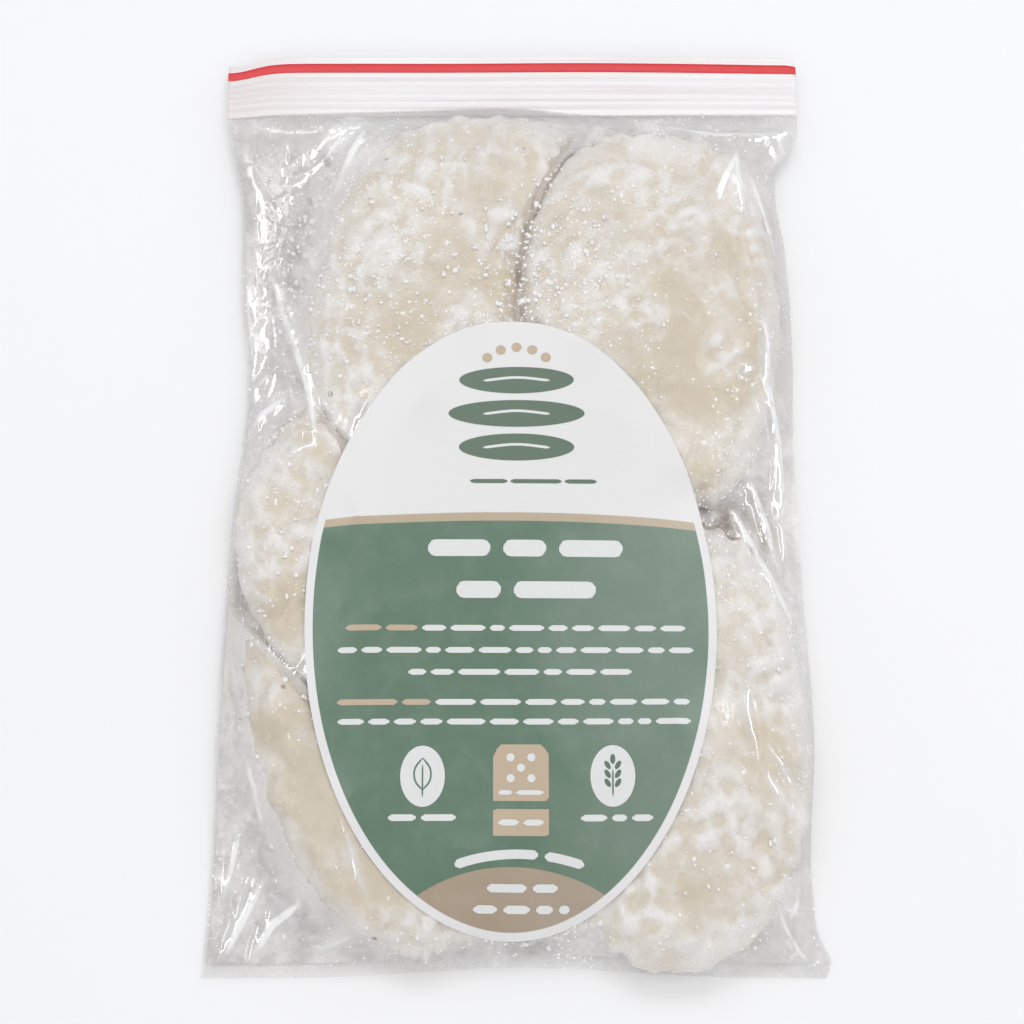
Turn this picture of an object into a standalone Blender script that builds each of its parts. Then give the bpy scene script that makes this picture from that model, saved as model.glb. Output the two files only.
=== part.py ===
"""A clear zip bag of five stuffed cassava arepas, frozen, lying on its back with its oval label up.

Metres, +Z up, +Y towards the zip. The origin is at the middle of the bag's underside.
The filled bag is one solid: its front sheet is film drawn over the five arepas, its back lies flat.
"""

import math

import bmesh
import bpy
import numpy as np

MM = 0.001

# Bag: a flat tube of film, sealed at the foot and closed by a zip at the mouth
BAG_WIDTH = 200 * MM
BAG_FOOT = -159.8 * MM
BAG_TOP = 136.3 * MM
MOUTH = 159.8 * MM
SEAM_THICKNESS = 0.8 * MM
LEAST_DEPTH = 1.5 * MM
GAP = 0.35 * MM

# How far each side is drawn in by the filling: distance above the foot, then the inset, in mm
LEFT_INSETS = (
    (0, 0.3), (25, 2.0), (75, 2.9), (145, 5.8), (208, 9.3), (224, 7.2), (270, 4.8), (291, 0.2), (297, -0.5),
)
RIGHT_INSETS = (
    (0, -0.5), (25, 2.7), (80, 1.1), (125, 3.3), (175, 4.8), (210, 4.0),
    (247, 5.6), (267, 8.2), (276, 7.4), (286, 0.6), (297, -0.3),
)

# The foot seam is pulled up where the filling presses on it
FOOT_RISE = 3.2 * MM
FOOT_RISE_AT = 4 * MM
FOOT_RISE_HALF_WIDTH = 44 * MM

# Height of the seams above what the bag lies on
CORNER_SEAM_HEIGHT = 1.3 * MM
FOOT_SEAM_HEIGHT = 4.5 * MM
SIDE_SEAM_HEIGHT = 5.5 * MM
MOUTH_SEAM_HEIGHT = 6.5 * MM

# Arepas: centre x and y, half width, half length and lean of the long axis in degrees, then the
# height of the middle plane and its slopes along x and y. Sizes in mm. In plan each is a full oval,
# whose outline is a superellipse, and its edge is rounded by another.
AREPA_THICKNESS = 20 * MM
AREPA_EDGE = 2.8
AREPA_OVAL = 2.35
AREPAS = (
    ("upper_right", 47, 59, 44, 68.5, 2, 12.8, -0.05, 0.0),
    ("upper_left", -16.5, 67.5, 50, 68, 13, 11.2, -0.02, -0.01),
    ("middle_left", -37.5, -23, 50.5, 58, -27, 11.6, 0.0, -0.02),
    ("lower_left", -41, -80.5, 41.5, 74, -17, 10.8, 0.0, 0.0),
    ("lower_right", 52, -83.5, 44.5, 72.5, -3, 10.8, 0.0, 0.0),
)

# Film: how hard it sags between what holds it up, and the sweeps that settle it
FILM_SAG = 0.03 / MM
FILM_SWEEPS = 500
FILM_OVERSHOOT = 1.82
FILM_BLURS = 3
COLUMNS = 36
ROWS = 56

# Main folds of the front film: points in mm, ridge height and half width in mm
FOLDS = (
    (((-84, 80), (-78, 62), (-72, 44), (-68, 28), (-69, 18)), 2.2, 3.2),
    (((72, 122), (76, 104), (79, 92)), 1.6, 3.0),
    (((83, 88), (86, 62), (87, 36), (88, -4)), 1.8, 3.4),
    (((76, -36), (80, -60), (84, -88)), 1.2, 3.2),
    (((99, -157), (88, -142), (80, -122)), 1.8, 3.4),
    (((-98, -156), (-88, -132), (-84, -100)), 1.4, 3.6),
    (((-50, -108), (-44, -122), (-38, -134)), 1.0, 3.0),
)

# Label: an oval sticker on the front film
LABEL_CENTRE = (-0.5 * MM, -47.2 * MM)
LABEL_WIDTH = 133.5 * MM
LABEL_HEIGHT = 203 * MM
LABEL_THICKNESS = 0.4 * MM
LABEL_LIFT = 0.5 * MM
LABEL_CELLS = 26

# Zip: a front lip with ribs and a back lip, closed on each other
LIP_THICKNESS = 0.5 * MM
LIP_GAP = 0.35 * MM
LIP_COLUMNS = 18
LIP_DROOP = 1.5 * MM
RIB_HEIGHT = 0.6 * MM
RIB_WIDTH = 1.1 * MM
RIBS = (139.6, 142.6, 145.2, 147.6, 150.2)
LEFT_END_DROP = 4.0 * MM
LEFT_END_BEND = 11 * MM

# Red line printed along the front lip
RED_LINE = (153.2 * MM, 156.8 * MM)
RED_LINE_THICKNESS = 0.35 * MM


def smooth_through(points, at):
    """A smooth curve through (place, value) points, in mm, read at places in metres."""
    place, value = (np.array(column, float) * MM for column in zip(*points))
    slope = np.gradient(value, place)
    at = np.clip(at, place[0], place[-1])
    i = np.clip(np.searchsorted(place, at) - 1, 0, len(place) - 2)
    step = place[i + 1] - place[i]
    t = (at - place[i]) / step
    return (
        (2 * t**3 - 3 * t**2 + 1) * value[i]
        + (t**3 - 2 * t**2 + t) * step * slope[i]
        + (3 * t**2 - 2 * t**3) * value[i + 1]
        + (t**3 - t**2) * step * slope[i + 1]
    )


def bump(distance, half_width):
    """A round hump, 1 at no distance and almost 0 past twice the half width."""
    return np.exp(-((distance / half_width) ** 2))


def foot_line(x):
    """Y of the foot seam."""
    return BAG_FOOT + FOOT_RISE * bump(x - FOOT_RISE_AT, FOOT_RISE_HALF_WIDTH)


def bag_sides(up):
    """X of the left and right sides at a distance above the foot."""
    left = -BAG_WIDTH / 2 + smooth_through(LEFT_INSETS, up)
    right = BAG_WIDTH / 2 - smooth_through(RIGHT_INSETS, up)
    return left, right


def bag_plan(u, w):
    """X and Y of the film at u across (-1 to 1) and w up (0 to 1)."""
    left, right = bag_sides(w * (BAG_TOP - BAG_FOOT))
    x = left + (right - left) * (u + 1) / 2
    foot = foot_line(x)
    return x, foot + w * (BAG_TOP - foot)


def bag_place(x, y):
    """The u and w of a point in plan, the reverse of bag_plan."""
    foot = foot_line(x)
    w = (y - foot) / (BAG_TOP - foot)
    left, right = bag_sides(w * (BAG_TOP - BAG_FOOT))
    return 2 * (x - left) / (right - left) - 1, w


def seam_height(u, w):
    """Height of the middle of the seams: low at the foot's corners, higher at the mouth."""
    foot = CORNER_SEAM_HEIGHT + (FOOT_SEAM_HEIGHT - CORNER_SEAM_HEIGHT) * bump(u, 0.55)
    rise = np.clip(w / 0.35, 0, 1)
    side = CORNER_SEAM_HEIGHT + (SIDE_SEAM_HEIGHT - CORNER_SEAM_HEIGHT) * rise * rise * (3 - 2 * rise)
    side = side + (MOUTH_SEAM_HEIGHT - SIDE_SEAM_HEIGHT) * np.clip((w - 0.8) / 0.2, 0, 1)
    return np.where(w <= 0, foot, side)


def arepa_surfaces(x, y):
    """Top of the highest arepa and underside of the lowest one at each point in plan."""
    top = np.full(x.shape, -1.0)
    under = np.full(x.shape, 1.0)
    for _, cx, cy, half_width, half_length, lean, height, slope_x, slope_y in AREPAS:
        dx, dy = x - cx * MM, y - cy * MM
        turn = math.radians(lean)
        across = np.abs(dx * math.cos(turn) - dy * math.sin(turn)) / (half_width * MM)
        along = np.abs(dx * math.sin(turn) + dy * math.cos(turn)) / (half_length * MM)
        reach = (across**AREPA_OVAL + along**AREPA_OVAL) ** (1 / AREPA_OVAL)
        half = AREPA_THICKNESS / 2 * np.sqrt(np.clip(1 - reach**AREPA_EDGE, 0, 1))
        middle = height * MM + slope_x * dx + slope_y * dy
        inside = reach < 1
        top = np.where(inside, np.maximum(top, middle + half), top)
        under = np.where(inside, np.minimum(under, middle - half), under)
    return top, under


def in_label(x, y, margin=1.0):
    """True inside the label's oval, scaled by margin."""
    a = (x - LABEL_CENTRE[0]) / (LABEL_WIDTH / 2)
    b = (y - LABEL_CENTRE[1]) / (LABEL_HEIGHT / 2)
    return a * a + b * b < margin * margin


def shifted_sum(z):
    """Sum of the four neighbours of each point of a grid."""
    padded = np.pad(z, 1, mode="edge")
    return padded[2:, 1:-1] + padded[:-2, 1:-1] + padded[1:-1, 2:] + padded[1:-1, :-2]


def settle(start, low, high, sag):
    """Film pulled flat between its fixed edge, kept above low and below high, with a load that sags it."""
    across = BAG_WIDTH / (start.shape[0] - 1)
    along = (BAG_TOP - BAG_FOOT) / (start.shape[1] - 1)
    i, j = np.indices(start.shape)
    inner = (i > 0) & (i < start.shape[0] - 1) & (j > 0) & (j < start.shape[1] - 1)
    z = np.clip(start, low, high)
    z = np.where(inner, z, start)
    for _ in range(FILM_SWEEPS):
        for colour in (0, 1):
            beside = np.zeros_like(z)
            beside[1:-1, 1:-1] = (
                along**2 * (z[2:, 1:-1] + z[:-2, 1:-1])
                + across**2 * (z[1:-1, 2:] + z[1:-1, :-2])
                - (sag * across**2 * along**2)[1:-1, 1:-1]
            ) / (2 * (across**2 + along**2))
            moved = np.clip(z + FILM_OVERSHOOT * (beside - z), low, high)
            z = np.where(inner & ((i + j) % 2 == colour), moved, z)
    return z


def fold_relief(x, y):
    """Height that the main folds add to the front film."""
    relief = np.zeros(x.shape)
    for points, height, half_width in FOLDS:
        nearest = np.full(x.shape, 1.0)
        for (ax, ay), (bx, by) in zip(points, points[1:]):
            run_x, run_y = (bx - ax) * MM, (by - ay) * MM
            t = ((x - ax * MM) * run_x + (y - ay * MM) * run_y) / (run_x**2 + run_y**2)
            t = np.clip(t, 0, 1)
            nearest = np.minimum(nearest, np.hypot(x - ax * MM - t * run_x, y - ay * MM - t * run_y))
        relief = np.maximum(relief, height * MM * bump(nearest, half_width * MM))
    return relief


def film_grid():
    """U, w and the front and back heights of the film on the bag's grid."""
    u, w = np.meshgrid(np.linspace(-1, 1, COLUMNS + 1), np.linspace(0, 1, ROWS + 1), indexing="ij")
    x, y = bag_plan(u, w)
    seam = seam_height(u, w)
    top, under = arepa_surfaces(x, y)
    everywhere = np.full(x.shape, FILM_SAG)
    load = np.where(in_label(x, y, 1.04), 0.0, FILM_SAG)
    back = settle(seam - SEAM_THICKNESS / 2, np.zeros(x.shape), np.maximum(under, 0), everywhere)
    floor = back + np.minimum(LEAST_DEPTH, SEAM_THICKNESS + 0.5 * rim_distance(u, w))
    front = settle(seam + SEAM_THICKNESS / 2, np.maximum(top, floor), np.full(x.shape, 1.0), load)
    for _ in range(FILM_BLURS):
        front[1:-1, 1:-1] = (4 * front + shifted_sum(front))[1:-1, 1:-1] / 8
    free = np.clip(rim_distance(u, w) / (8 * MM), 0, 1) * ~in_label(x, y, 1.06)
    return u, w, front + free * fold_relief(x, y), back


def rim_distance(u, w):
    """Rough distance in plan from the bag's seams."""
    across = (1 - np.abs(u)) * BAG_WIDTH / 2
    along = np.minimum(w, 1 - w) * (BAG_TOP - BAG_FOOT)
    return np.minimum(across, along)


def read_grid(grid, u, w):
    """Value of a grid on the bag, read between its points."""
    i = np.clip((u + 1) / 2 * COLUMNS, 0, COLUMNS - 1e-6)
    j = np.clip(w * ROWS, 0, ROWS - 1e-6)
    i0, j0 = i.astype(int), j.astype(int)
    a, b = i - i0, j - j0
    return (
        grid[i0, j0] * (1 - a) * (1 - b)
        + grid[i0 + 1, j0] * a * (1 - b)
        + grid[i0, j0 + 1] * (1 - a) * b
        + grid[i0 + 1, j0 + 1] * a * b
    )


def new_material(name, colour, roughness, alpha=1.0):
    """A Principled material of one plain finish."""
    material = bpy.data.materials.new(name)
    material.use_nodes = True
    shader = material.node_tree.nodes["Principled BSDF"]
    shader.inputs["Base Color"].default_value = (*colour, 1.0)
    shader.inputs["Roughness"].default_value = roughness
    shader.inputs["Metallic"].default_value = 0.0
    shader.inputs["Alpha"].default_value = alpha
    return material


def sheet_solid(name, collection, material, columns, rows, front, back):
    """A closed solid between two sheets: a flat grid moved to the front, and its extruded copy behind."""
    bm = bmesh.new()
    bmesh.ops.create_grid(bm, x_segments=columns, y_segments=rows, size=1.0)
    place = {v: (v.co.x, v.co.y) for v in bm.verts}
    front_verts = list(bm.verts)
    made = bmesh.ops.extrude_face_region(bm, geom=bm.faces[:], use_keep_orig=True)
    back_verts = [e for e in made["geom"] if isinstance(e, bmesh.types.BMVert)]
    for verts, surface in ((front_verts, front), (back_verts, back)):
        uv = np.array([(v.co.x, v.co.y) for v in verts])
        for v, co in zip(verts, np.stack(surface(uv[:, 0], uv[:, 1]), axis=1)):
            v.co = co
    flat = [v for v in back_verts if v.co.z == 0.0]
    if flat:
        edges = list({e for v in flat for e in v.link_edges})
        bmesh.ops.dissolve_limit(bm, angle_limit=math.radians(0.05), verts=flat, edges=edges)
    bmesh.ops.recalc_face_normals(bm, faces=bm.faces[:])
    mesh = bpy.data.meshes.new(name)
    bm.to_mesh(mesh)
    bm.free()
    mesh.shade_smooth()
    mesh.set_sharp_from_angle(angle=math.radians(40))
    mesh.materials.append(material)
    solid = bpy.data.objects.new(name, mesh)
    collection.objects.link(solid)
    return solid


def make_bag(collection, film):
    """The filled bag, from the foot seam to the zip."""
    u_grid, w_grid, front, back = film

    def sheet(heights):
        def surface(u, v):
            w = (v + 1) / 2
            x, y = bag_plan(u, w)
            z = read_grid(heights, u, w)
            return x, y, np.where(np.abs(z) < 1e-6, 0.0, z)

        return surface

    material = new_material("filled_bag", (0.74, 0.69, 0.62), 0.35)
    return sheet_solid("bag", collection, material, COLUMNS, ROWS, sheet(front), sheet(back))


def lip_line(x, y):
    """Y and height of the closed lips at a place on the flat lip."""
    share = (y - BAG_TOP) / (MOUTH - BAG_TOP)
    drop = LEFT_END_DROP * bump(x + BAG_WIDTH / 2, LEFT_END_BEND) * np.clip(share, 0, 1)
    return y - drop, MOUTH_SEAM_HEIGHT - LIP_DROOP * share


def lip_rows(ribbed):
    """Places along y where the lip's profile changes, with the height of the rib there."""
    rows = [(BAG_TOP + GAP, 0.0)]
    if ribbed:
        for rib in RIBS:
            middle, half = rib * MM, RIB_WIDTH / 2
            rows += [(middle - half, 0.0), (middle - half / 2, RIB_HEIGHT)]
            rows += [(middle + half / 2, RIB_HEIGHT), (middle + half, 0.0)]
    rows += [(RED_LINE[0] - GAP, 0.0), (RED_LINE[1] + GAP, 0.0), (MOUTH, 0.0)]
    return np.array(rows)


def lip_x(u):
    """X along the lip, which is as wide as the flat bag."""
    return u * (BAG_WIDTH / 2 + 0.5 * MM)


def make_lip(name, collection, material, side, ribbed):
    """One lip of the mouth, side +1 in front and -1 behind, with the zip's ribs outside."""
    rows = lip_rows(ribbed)

    def sheet(outer):
        def surface(u, v):
            row = np.rint((v + 1) / 2 * (len(rows) - 1)).astype(int)
            x = lip_x(u)
            y, middle = lip_line(x, rows[row, 0])
            depth = LIP_GAP / 2 + outer * (LIP_THICKNESS + rows[row, 1])
            return x, y, middle + side * depth

        return surface

    return sheet_solid(name, collection, material, LIP_COLUMNS, len(rows) - 1, sheet(1), sheet(0))


def make_red_line(collection):
    """The red line, a flat strip on the front lip's face."""
    material = new_material("red_line", (0.80, 0.055, 0.07), 0.4)
    base = LIP_GAP / 2 + LIP_THICKNESS + GAP

    def sheet(height):
        def surface(u, v):
            x = lip_x(u)
            y, middle = lip_line(x, RED_LINE[0] + (RED_LINE[1] - RED_LINE[0]) * (v + 1) / 2)
            return x, y, middle + base + height

        return surface

    front = sheet(RED_LINE_THICKNESS)
    return sheet_solid("red_line", collection, material, LIP_COLUMNS, 1, front, sheet(0.0))


def make_label(collection, film):
    """The oval sticker, which follows the front film."""
    front = film[2]
    material = new_material("label_paper", (0.80, 0.80, 0.79), 0.5)

    def sheet(height):
        def surface(u, v):
            x = LABEL_CENTRE[0] + LABEL_WIDTH / 2 * u * np.sqrt(1 - v * v / 2)
            y = LABEL_CENTRE[1] + LABEL_HEIGHT / 2 * v * np.sqrt(1 - u * u / 2)
            return x, y, read_grid(front, *bag_place(x, y)) + LABEL_LIFT + height

        return surface

    face = sheet(LABEL_THICKNESS)
    return sheet_solid("label", collection, material, LABEL_CELLS, LABEL_CELLS, face, sheet(0.0))


def clear_scene():
    for old in list(bpy.data.objects):
        bpy.data.objects.remove(old)


def build():
    clear_scene()
    collection = bpy.data.collections.new("bagged_arepas")
    bpy.context.scene.collection.children.link(collection)
    film = film_grid()
    make_bag(collection, film)
    make_label(collection, film)
    white = new_material("zip_plastic", (0.86, 0.84, 0.85), 0.3)
    make_lip("zip_lip_front", collection, white, 1, True)
    make_lip("zip_lip_back", collection, white, -1, False)
    make_red_line(collection)


build()
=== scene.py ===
"""A clear zip bag of five frozen stuffed cassava arepas, lying on its back with its oval label up.

Lengths are worked out in millimetres and go into the meshes in metres. The bag lies along y with its
zip at +y, and z is up, out of the labelled front.
"""

import math
from collections import namedtuple

import bpy
import numpy as np
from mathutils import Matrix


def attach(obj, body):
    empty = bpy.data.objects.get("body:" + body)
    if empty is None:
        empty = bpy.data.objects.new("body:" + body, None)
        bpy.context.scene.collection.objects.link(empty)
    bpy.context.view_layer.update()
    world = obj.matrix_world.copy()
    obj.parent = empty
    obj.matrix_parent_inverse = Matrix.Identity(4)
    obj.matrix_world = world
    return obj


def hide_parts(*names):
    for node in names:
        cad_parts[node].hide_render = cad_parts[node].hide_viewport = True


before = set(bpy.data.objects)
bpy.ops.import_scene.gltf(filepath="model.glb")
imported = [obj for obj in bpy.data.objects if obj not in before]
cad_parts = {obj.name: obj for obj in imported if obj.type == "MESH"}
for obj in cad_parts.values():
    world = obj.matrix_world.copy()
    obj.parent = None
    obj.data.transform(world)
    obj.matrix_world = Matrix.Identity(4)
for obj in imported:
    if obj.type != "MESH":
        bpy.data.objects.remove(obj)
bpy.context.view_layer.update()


# The studio: a camera above the lying bag and a little towards its foot, a pale floor, soft lamps
# past the zip and the foot, window light from high up on the right, and a strip lamp at each side
# that only draws glints on the creases.

MM = 0.001
CAMERA_AIM = (0.0, -0.0069, 0.005)
CAMERA_DISTANCE = 0.700
CAMERA_TILT = math.radians(13.997)
CAMERA_LENS = 73.22

camera_data = bpy.data.cameras.new("camera")
camera_data.sensor_width = 36.0
camera_data.lens = CAMERA_LENS
camera_data.clip_start = 0.01
camera = bpy.data.objects.new("camera", camera_data)
camera.location = (
    CAMERA_AIM[0],
    CAMERA_AIM[1] - CAMERA_DISTANCE * math.sin(CAMERA_TILT),
    CAMERA_AIM[2] + CAMERA_DISTANCE * math.cos(CAMERA_TILT),
)
camera.rotation_euler = (CAMERA_TILT, 0.0, 0.0)
bpy.context.scene.collection.objects.link(camera)
bpy.context.scene.camera = camera


def soft_lamp(name, place, size, watts, lights=True, glints=True):
    """A rectangular area lamp at a place in metres that faces the middle of the bag. It may light
    surfaces, draw glints on them, or both."""
    data = bpy.data.lights.new(name, "AREA")
    data.shape = "RECTANGLE"
    data.size, data.size_y = size
    data.energy = watts
    lamp = bpy.data.objects.new(name, data)
    lamp.location = place
    lamp.visible_diffuse, lamp.visible_glossy = lights, glints
    x, y, z = place
    lamp.rotation_euler = (math.atan2(math.hypot(x, y), z), 0.0, math.atan2(y, x) + math.pi / 2)
    bpy.context.scene.collection.objects.link(lamp)


soft_lamp("top_lamp", (0.0, 0.75, 1.15), (0.9, 0.45), 3.7)
soft_lamp("right_window", (0.30, -0.08, 1.45), (0.8, 0.8), 3.9, glints=False)
soft_lamp("right_strip", (0.72, 0.24, 1.05), (1.0, 0.17), 6.0, lights=False)
soft_lamp("left_strip", (-0.70, 0.22, 1.05), (1.0, 0.17), 6.0, lights=False)
soft_lamp("foot_lamp", (0.10, -1.00, 0.80), (0.7, 0.20), 1.0)

world = bpy.data.worlds.new("white_room")
world.use_nodes = True
world.node_tree.nodes["Background"].inputs["Color"].default_value = (0.98, 0.985, 1.0, 1.0)
world.node_tree.nodes["Background"].inputs["Strength"].default_value = 0.70
bpy.context.scene.world = world
bpy.context.scene.view_settings.view_transform = "Standard"


def new_material(name):
    """An empty node material, its node tree, and the place on the piece that its patterns read."""
    material = bpy.data.materials.new(name)
    material.use_nodes = True
    tree = material.node_tree
    tree.nodes.clear()
    return material, tree, tree.nodes.new("ShaderNodeTexCoord").outputs["Object"]


def add(tree, kind, links=None, **values):
    """Adds one node. Values set its settings or its inputs, and links go from sockets to inputs."""
    node = tree.nodes.new(kind)
    for key, value in values.items():
        if hasattr(node, key):
            setattr(node, key, value)
        else:
            node.inputs[key].default_value = value
    for key, socket in (links or {}).items():
        tree.links.new(socket, node.inputs[key])
    return node


def put(tree, entry, value):
    """Links a socket to an input, or sets the input to a number or a colour."""
    if isinstance(value, bpy.types.NodeSocket):
        tree.links.new(value, entry)
    else:
        entry.default_value = (*value, 1.0) if isinstance(value, tuple) else value


def maths(tree, operation, first, second, clamp=False):
    """A maths node of two values, each a socket or a number."""
    node = add(tree, "ShaderNodeMath", operation=operation, use_clamp=clamp)
    put(tree, node.inputs[0], first)
    put(tree, node.inputs[1], second)
    return node.outputs[0]


def times(tree, first, second):
    """The product of two values."""
    return maths(tree, "MULTIPLY", first, second)


def plus(tree, first, second, clamp=False):
    """The sum of two values, kept between 0 and 1 if it is clamped."""
    return maths(tree, "ADD", first, second, clamp)


def ramp_of(tree, value, low, high, to_low=0.0, to_high=1.0):
    """Value taken smoothly from the range low to high onto to_low to to_high."""
    node = add(tree, "ShaderNodeMapRange", {"Value": value}, interpolation_type="SMOOTHSTEP")
    for name, number in (("From Min", low), ("From Max", high), ("To Min", to_low), ("To Max", to_high)):
        node.inputs[name].default_value = number
    return node.outputs["Result"]


def colour_mix(tree, share, first, second):
    """First colour where share is 0, second where it is 1. Each is a socket or a colour."""
    node = add(tree, "ShaderNodeMix", data_type="RGBA")
    for place, value in ((0, share), (6, first), (7, second)):
        put(tree, node.inputs[place], value)
    return node.outputs[2]


def noise(tree, where, scale, detail=3.0, rough=0.55, warp=0.0):
    """Cloudy noise over a position socket."""
    look = {"Scale": scale, "Detail": detail, "Roughness": rough, "Distortion": warp}
    return add(tree, "ShaderNodeTexNoise", {"Vector": where}, **look).outputs["Fac"]


def value_on(tree, name):
    """The value that the piece's points carry under a name."""
    return add(tree, "ShaderNodeAttribute", attribute_name=name).outputs["Fac"]


def bumps(tree, height, strength, distance):
    """A surface made uneven by a height pattern, no deeper than a distance in metres."""
    return add(tree, "ShaderNodeBump", {"Height": height}, Strength=strength, Distance=distance).outputs[0]


def shader_mix(tree, share, first, second):
    """First shader node where share is 0, second where it is 1."""
    return add(tree, "ShaderNodeMixShader", {0: share, 1: first.outputs[0], 2: second.outputs[0]})


def surface(tree, shader):
    """Makes a shader node the surface of the material."""
    add(tree, "ShaderNodeOutputMaterial", {"Surface": shader.outputs[0]})


def opaque(tree, tone, roughness, uneven=None):
    """A solid finish as the surface. Roughness is a number or a socket, and uneven comes from bumps."""
    shader = add(tree, "ShaderNodeBsdfPrincipled", {"Base Color": tone})
    put(tree, shader.inputs["Roughness"], roughness)
    if uneven is not None:
        tree.links.new(uneven, shader.inputs["Normal"])
    surface(tree, shader)


def sheet(x, y, z):
    """Points of a sheet from the grids of their x, y and z."""
    return np.stack([x, y, z], axis=2)


def grid_faces(index):
    """Four-cornered faces of a grid of point numbers, facing up if x runs first and y second."""
    return np.stack([index[:-1, :-1], index[1:, :-1], index[1:, 1:], index[:-1, 1:]], axis=2)


def new_piece(name, points, faces, sharp=None):
    """A piece of points in mm and faces. It is shaded smooth where faces meet at less than the sharp
    angle in degrees, and flat without one."""
    mesh = bpy.data.meshes.new(name)
    mesh.from_pydata(points * MM, [], faces)
    if sharp:
        mesh.shade_smooth()
        mesh.set_sharp_from_angle(angle=math.radians(sharp))
    piece = bpy.data.objects.new(name, mesh)
    bpy.context.scene.collection.objects.link(piece)
    return piece


FLOOR_HALF = 1500.0
FLOOR_POINTS = 31
FLOOR_HEIGHT = -0.1

floor_steps = np.linspace(-FLOOR_HALF, FLOOR_HALF, FLOOR_POINTS)
floor_x, floor_y = np.meshgrid(floor_steps, floor_steps, indexing="ij")
floor_points = sheet(floor_x, floor_y, np.full(floor_x.shape, FLOOR_HEIGHT)).reshape(-1, 3)
floor_faces = grid_faces(np.arange(floor_x.size).reshape(floor_x.shape)).reshape(-1, 4)
floor = new_piece("floor", floor_points, floor_faces.tolist())
floor_paint, tree, where = new_material("floor_paint")
floor_tone = colour_mix(tree, noise(tree, where, 6.0), (0.885, 0.885, 0.89), (0.90, 0.90, 0.905))
opaque(tree, floor_tone, 0.7)
floor.data.materials.append(floor_paint)


# Five stuffed cassava arepas: flat ovals of pale boiled dough, patted by hand, dusted and frozen.
# Each is a lens with a rounded edge, an uneven outline and lumps. They were pressed together while
# soft, so each one's outline gives way to those before it in the list.

AREPA_THICKNESS = 20.0
AREPA_EDGE = 2.35
AREPA_OVAL = 2.35
OUTLINE_WAVE = 0.014
OUTLINE_CRUMB = 0.0035
PRESSED_GAP = 0.01
PRESSED_BEND = 0.08
PRESSED_SLOPE = 6.0
AREPA_CELLS = 150
CREVICE_WIDTH = 8.0
DENT_DEPTH, LUMP_HEIGHT, CLUMP_HEIGHT, FROST_HEIGHT = 0.95, 0.60, 0.18, 0.30
# centre, half sizes, lean in degrees, height of the middle, its slopes, seed, and how far down the
# long axis the outline is measured from, as a share of the half length
Arepa = namedtuple("Arepa", "name x y half_width half_length lean height slope_x slope_y seed shift")
AREPAS = (
    Arepa("arepa_upper_right", 47, 59, 44, 68.5, 2, 12.8, -0.05, 0.0, 11, 0.0),
    Arepa("arepa_upper_left", -16.5, 67.5, 50, 68, 13, 11.2, -0.02, -0.01, 23, 0.0),
    Arepa("arepa_middle_left", -37.5, -23.5, 50.5, 59, -29, 11.6, 0.0, -0.02, 37, 0.0),
    Arepa("arepa_lower_left", -41, -80.5, 41.5, 74, -17, 10.8, 0.0, 0.0, 41, 0.5),
    Arepa("arepa_lower_right", 52, -83.5, 44.5, 72.5, -3, 10.8, 0.0, 0.0, 59, 0.0),
)


def waves(points, length, seed, count=26):
    """Smooth random relief with a spread of about 1: many cosine waves of about one length, with
    directions and phases drawn from the seed, added up."""
    draw = np.random.default_rng(seed)
    ways = draw.normal(size=(count, points.shape[-1]))
    ways /= np.linalg.norm(ways, axis=1, keepdims=True)
    ways *= 2 * np.pi / (length * draw.uniform(0.7, 1.6, (count, 1)))
    total = np.zeros(points.shape[:-1])
    for way, phase in zip(ways, draw.uniform(0, 2 * np.pi, count)):
        total += np.cos(points @ way + phase)
    return total * math.sqrt(2 / count)


def arepa_outline(angle, arepa):
    """How far the outline lies from the point it is measured from at an angle, read off its table."""
    return np.interp(angle, AROUND, outlines[arepa.name])


def arepa_reach(arepa, x, y):
    """How far points in plan lie from an arepa's measuring point, as a share of the way from there
    to its outline."""
    turn = math.radians(arepa.lean)
    dx, dy = x - arepa.x, y - arepa.y
    across = (dx * math.cos(turn) - dy * math.sin(turn)) / arepa.half_width
    along = (dx * math.sin(turn) + dy * math.cos(turn)) / arepa.half_length + arepa.shift
    return np.hypot(across, along) / arepa_outline(np.arctan2(along, across), arepa)


def arepa_plan(arepa, far, angle):
    """X and y of points at a distance and angle from the measuring point, in half widths and lengths."""
    across = far * np.cos(angle) * arepa.half_width
    along = (far * np.sin(angle) - arepa.shift) * arepa.half_length
    turn = math.radians(arepa.lean)
    x = arepa.x + across * math.cos(turn) + along * math.sin(turn)
    return x, arepa.y - across * math.sin(turn) + along * math.cos(turn)


def plain_reach(arepa, far, angle):
    """Reach of the same points in the oval that no neighbour presses on: a full oval, which is a
    superellipse, with a few broad and many crumbly waves on its outline."""
    across, along = far * np.cos(angle), far * np.sin(angle) - arepa.shift
    oval = (np.abs(across) ** AREPA_OVAL + np.abs(along) ** AREPA_OVAL) ** (1 / AREPA_OVAL)
    draw = np.random.default_rng(arepa.seed)
    wavy = np.ones(angle.shape)
    for turns in range(2, 9):
        wavy += OUTLINE_WAVE / math.sqrt(turns - 1) * np.cos(turns * angle + draw.uniform(0, 2 * np.pi))
    for turns in range(13, 46, 4):
        wavy += OUTLINE_CRUMB * np.cos(turns * angle + draw.uniform(0, 2 * np.pi))
    return oval / wavy


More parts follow.
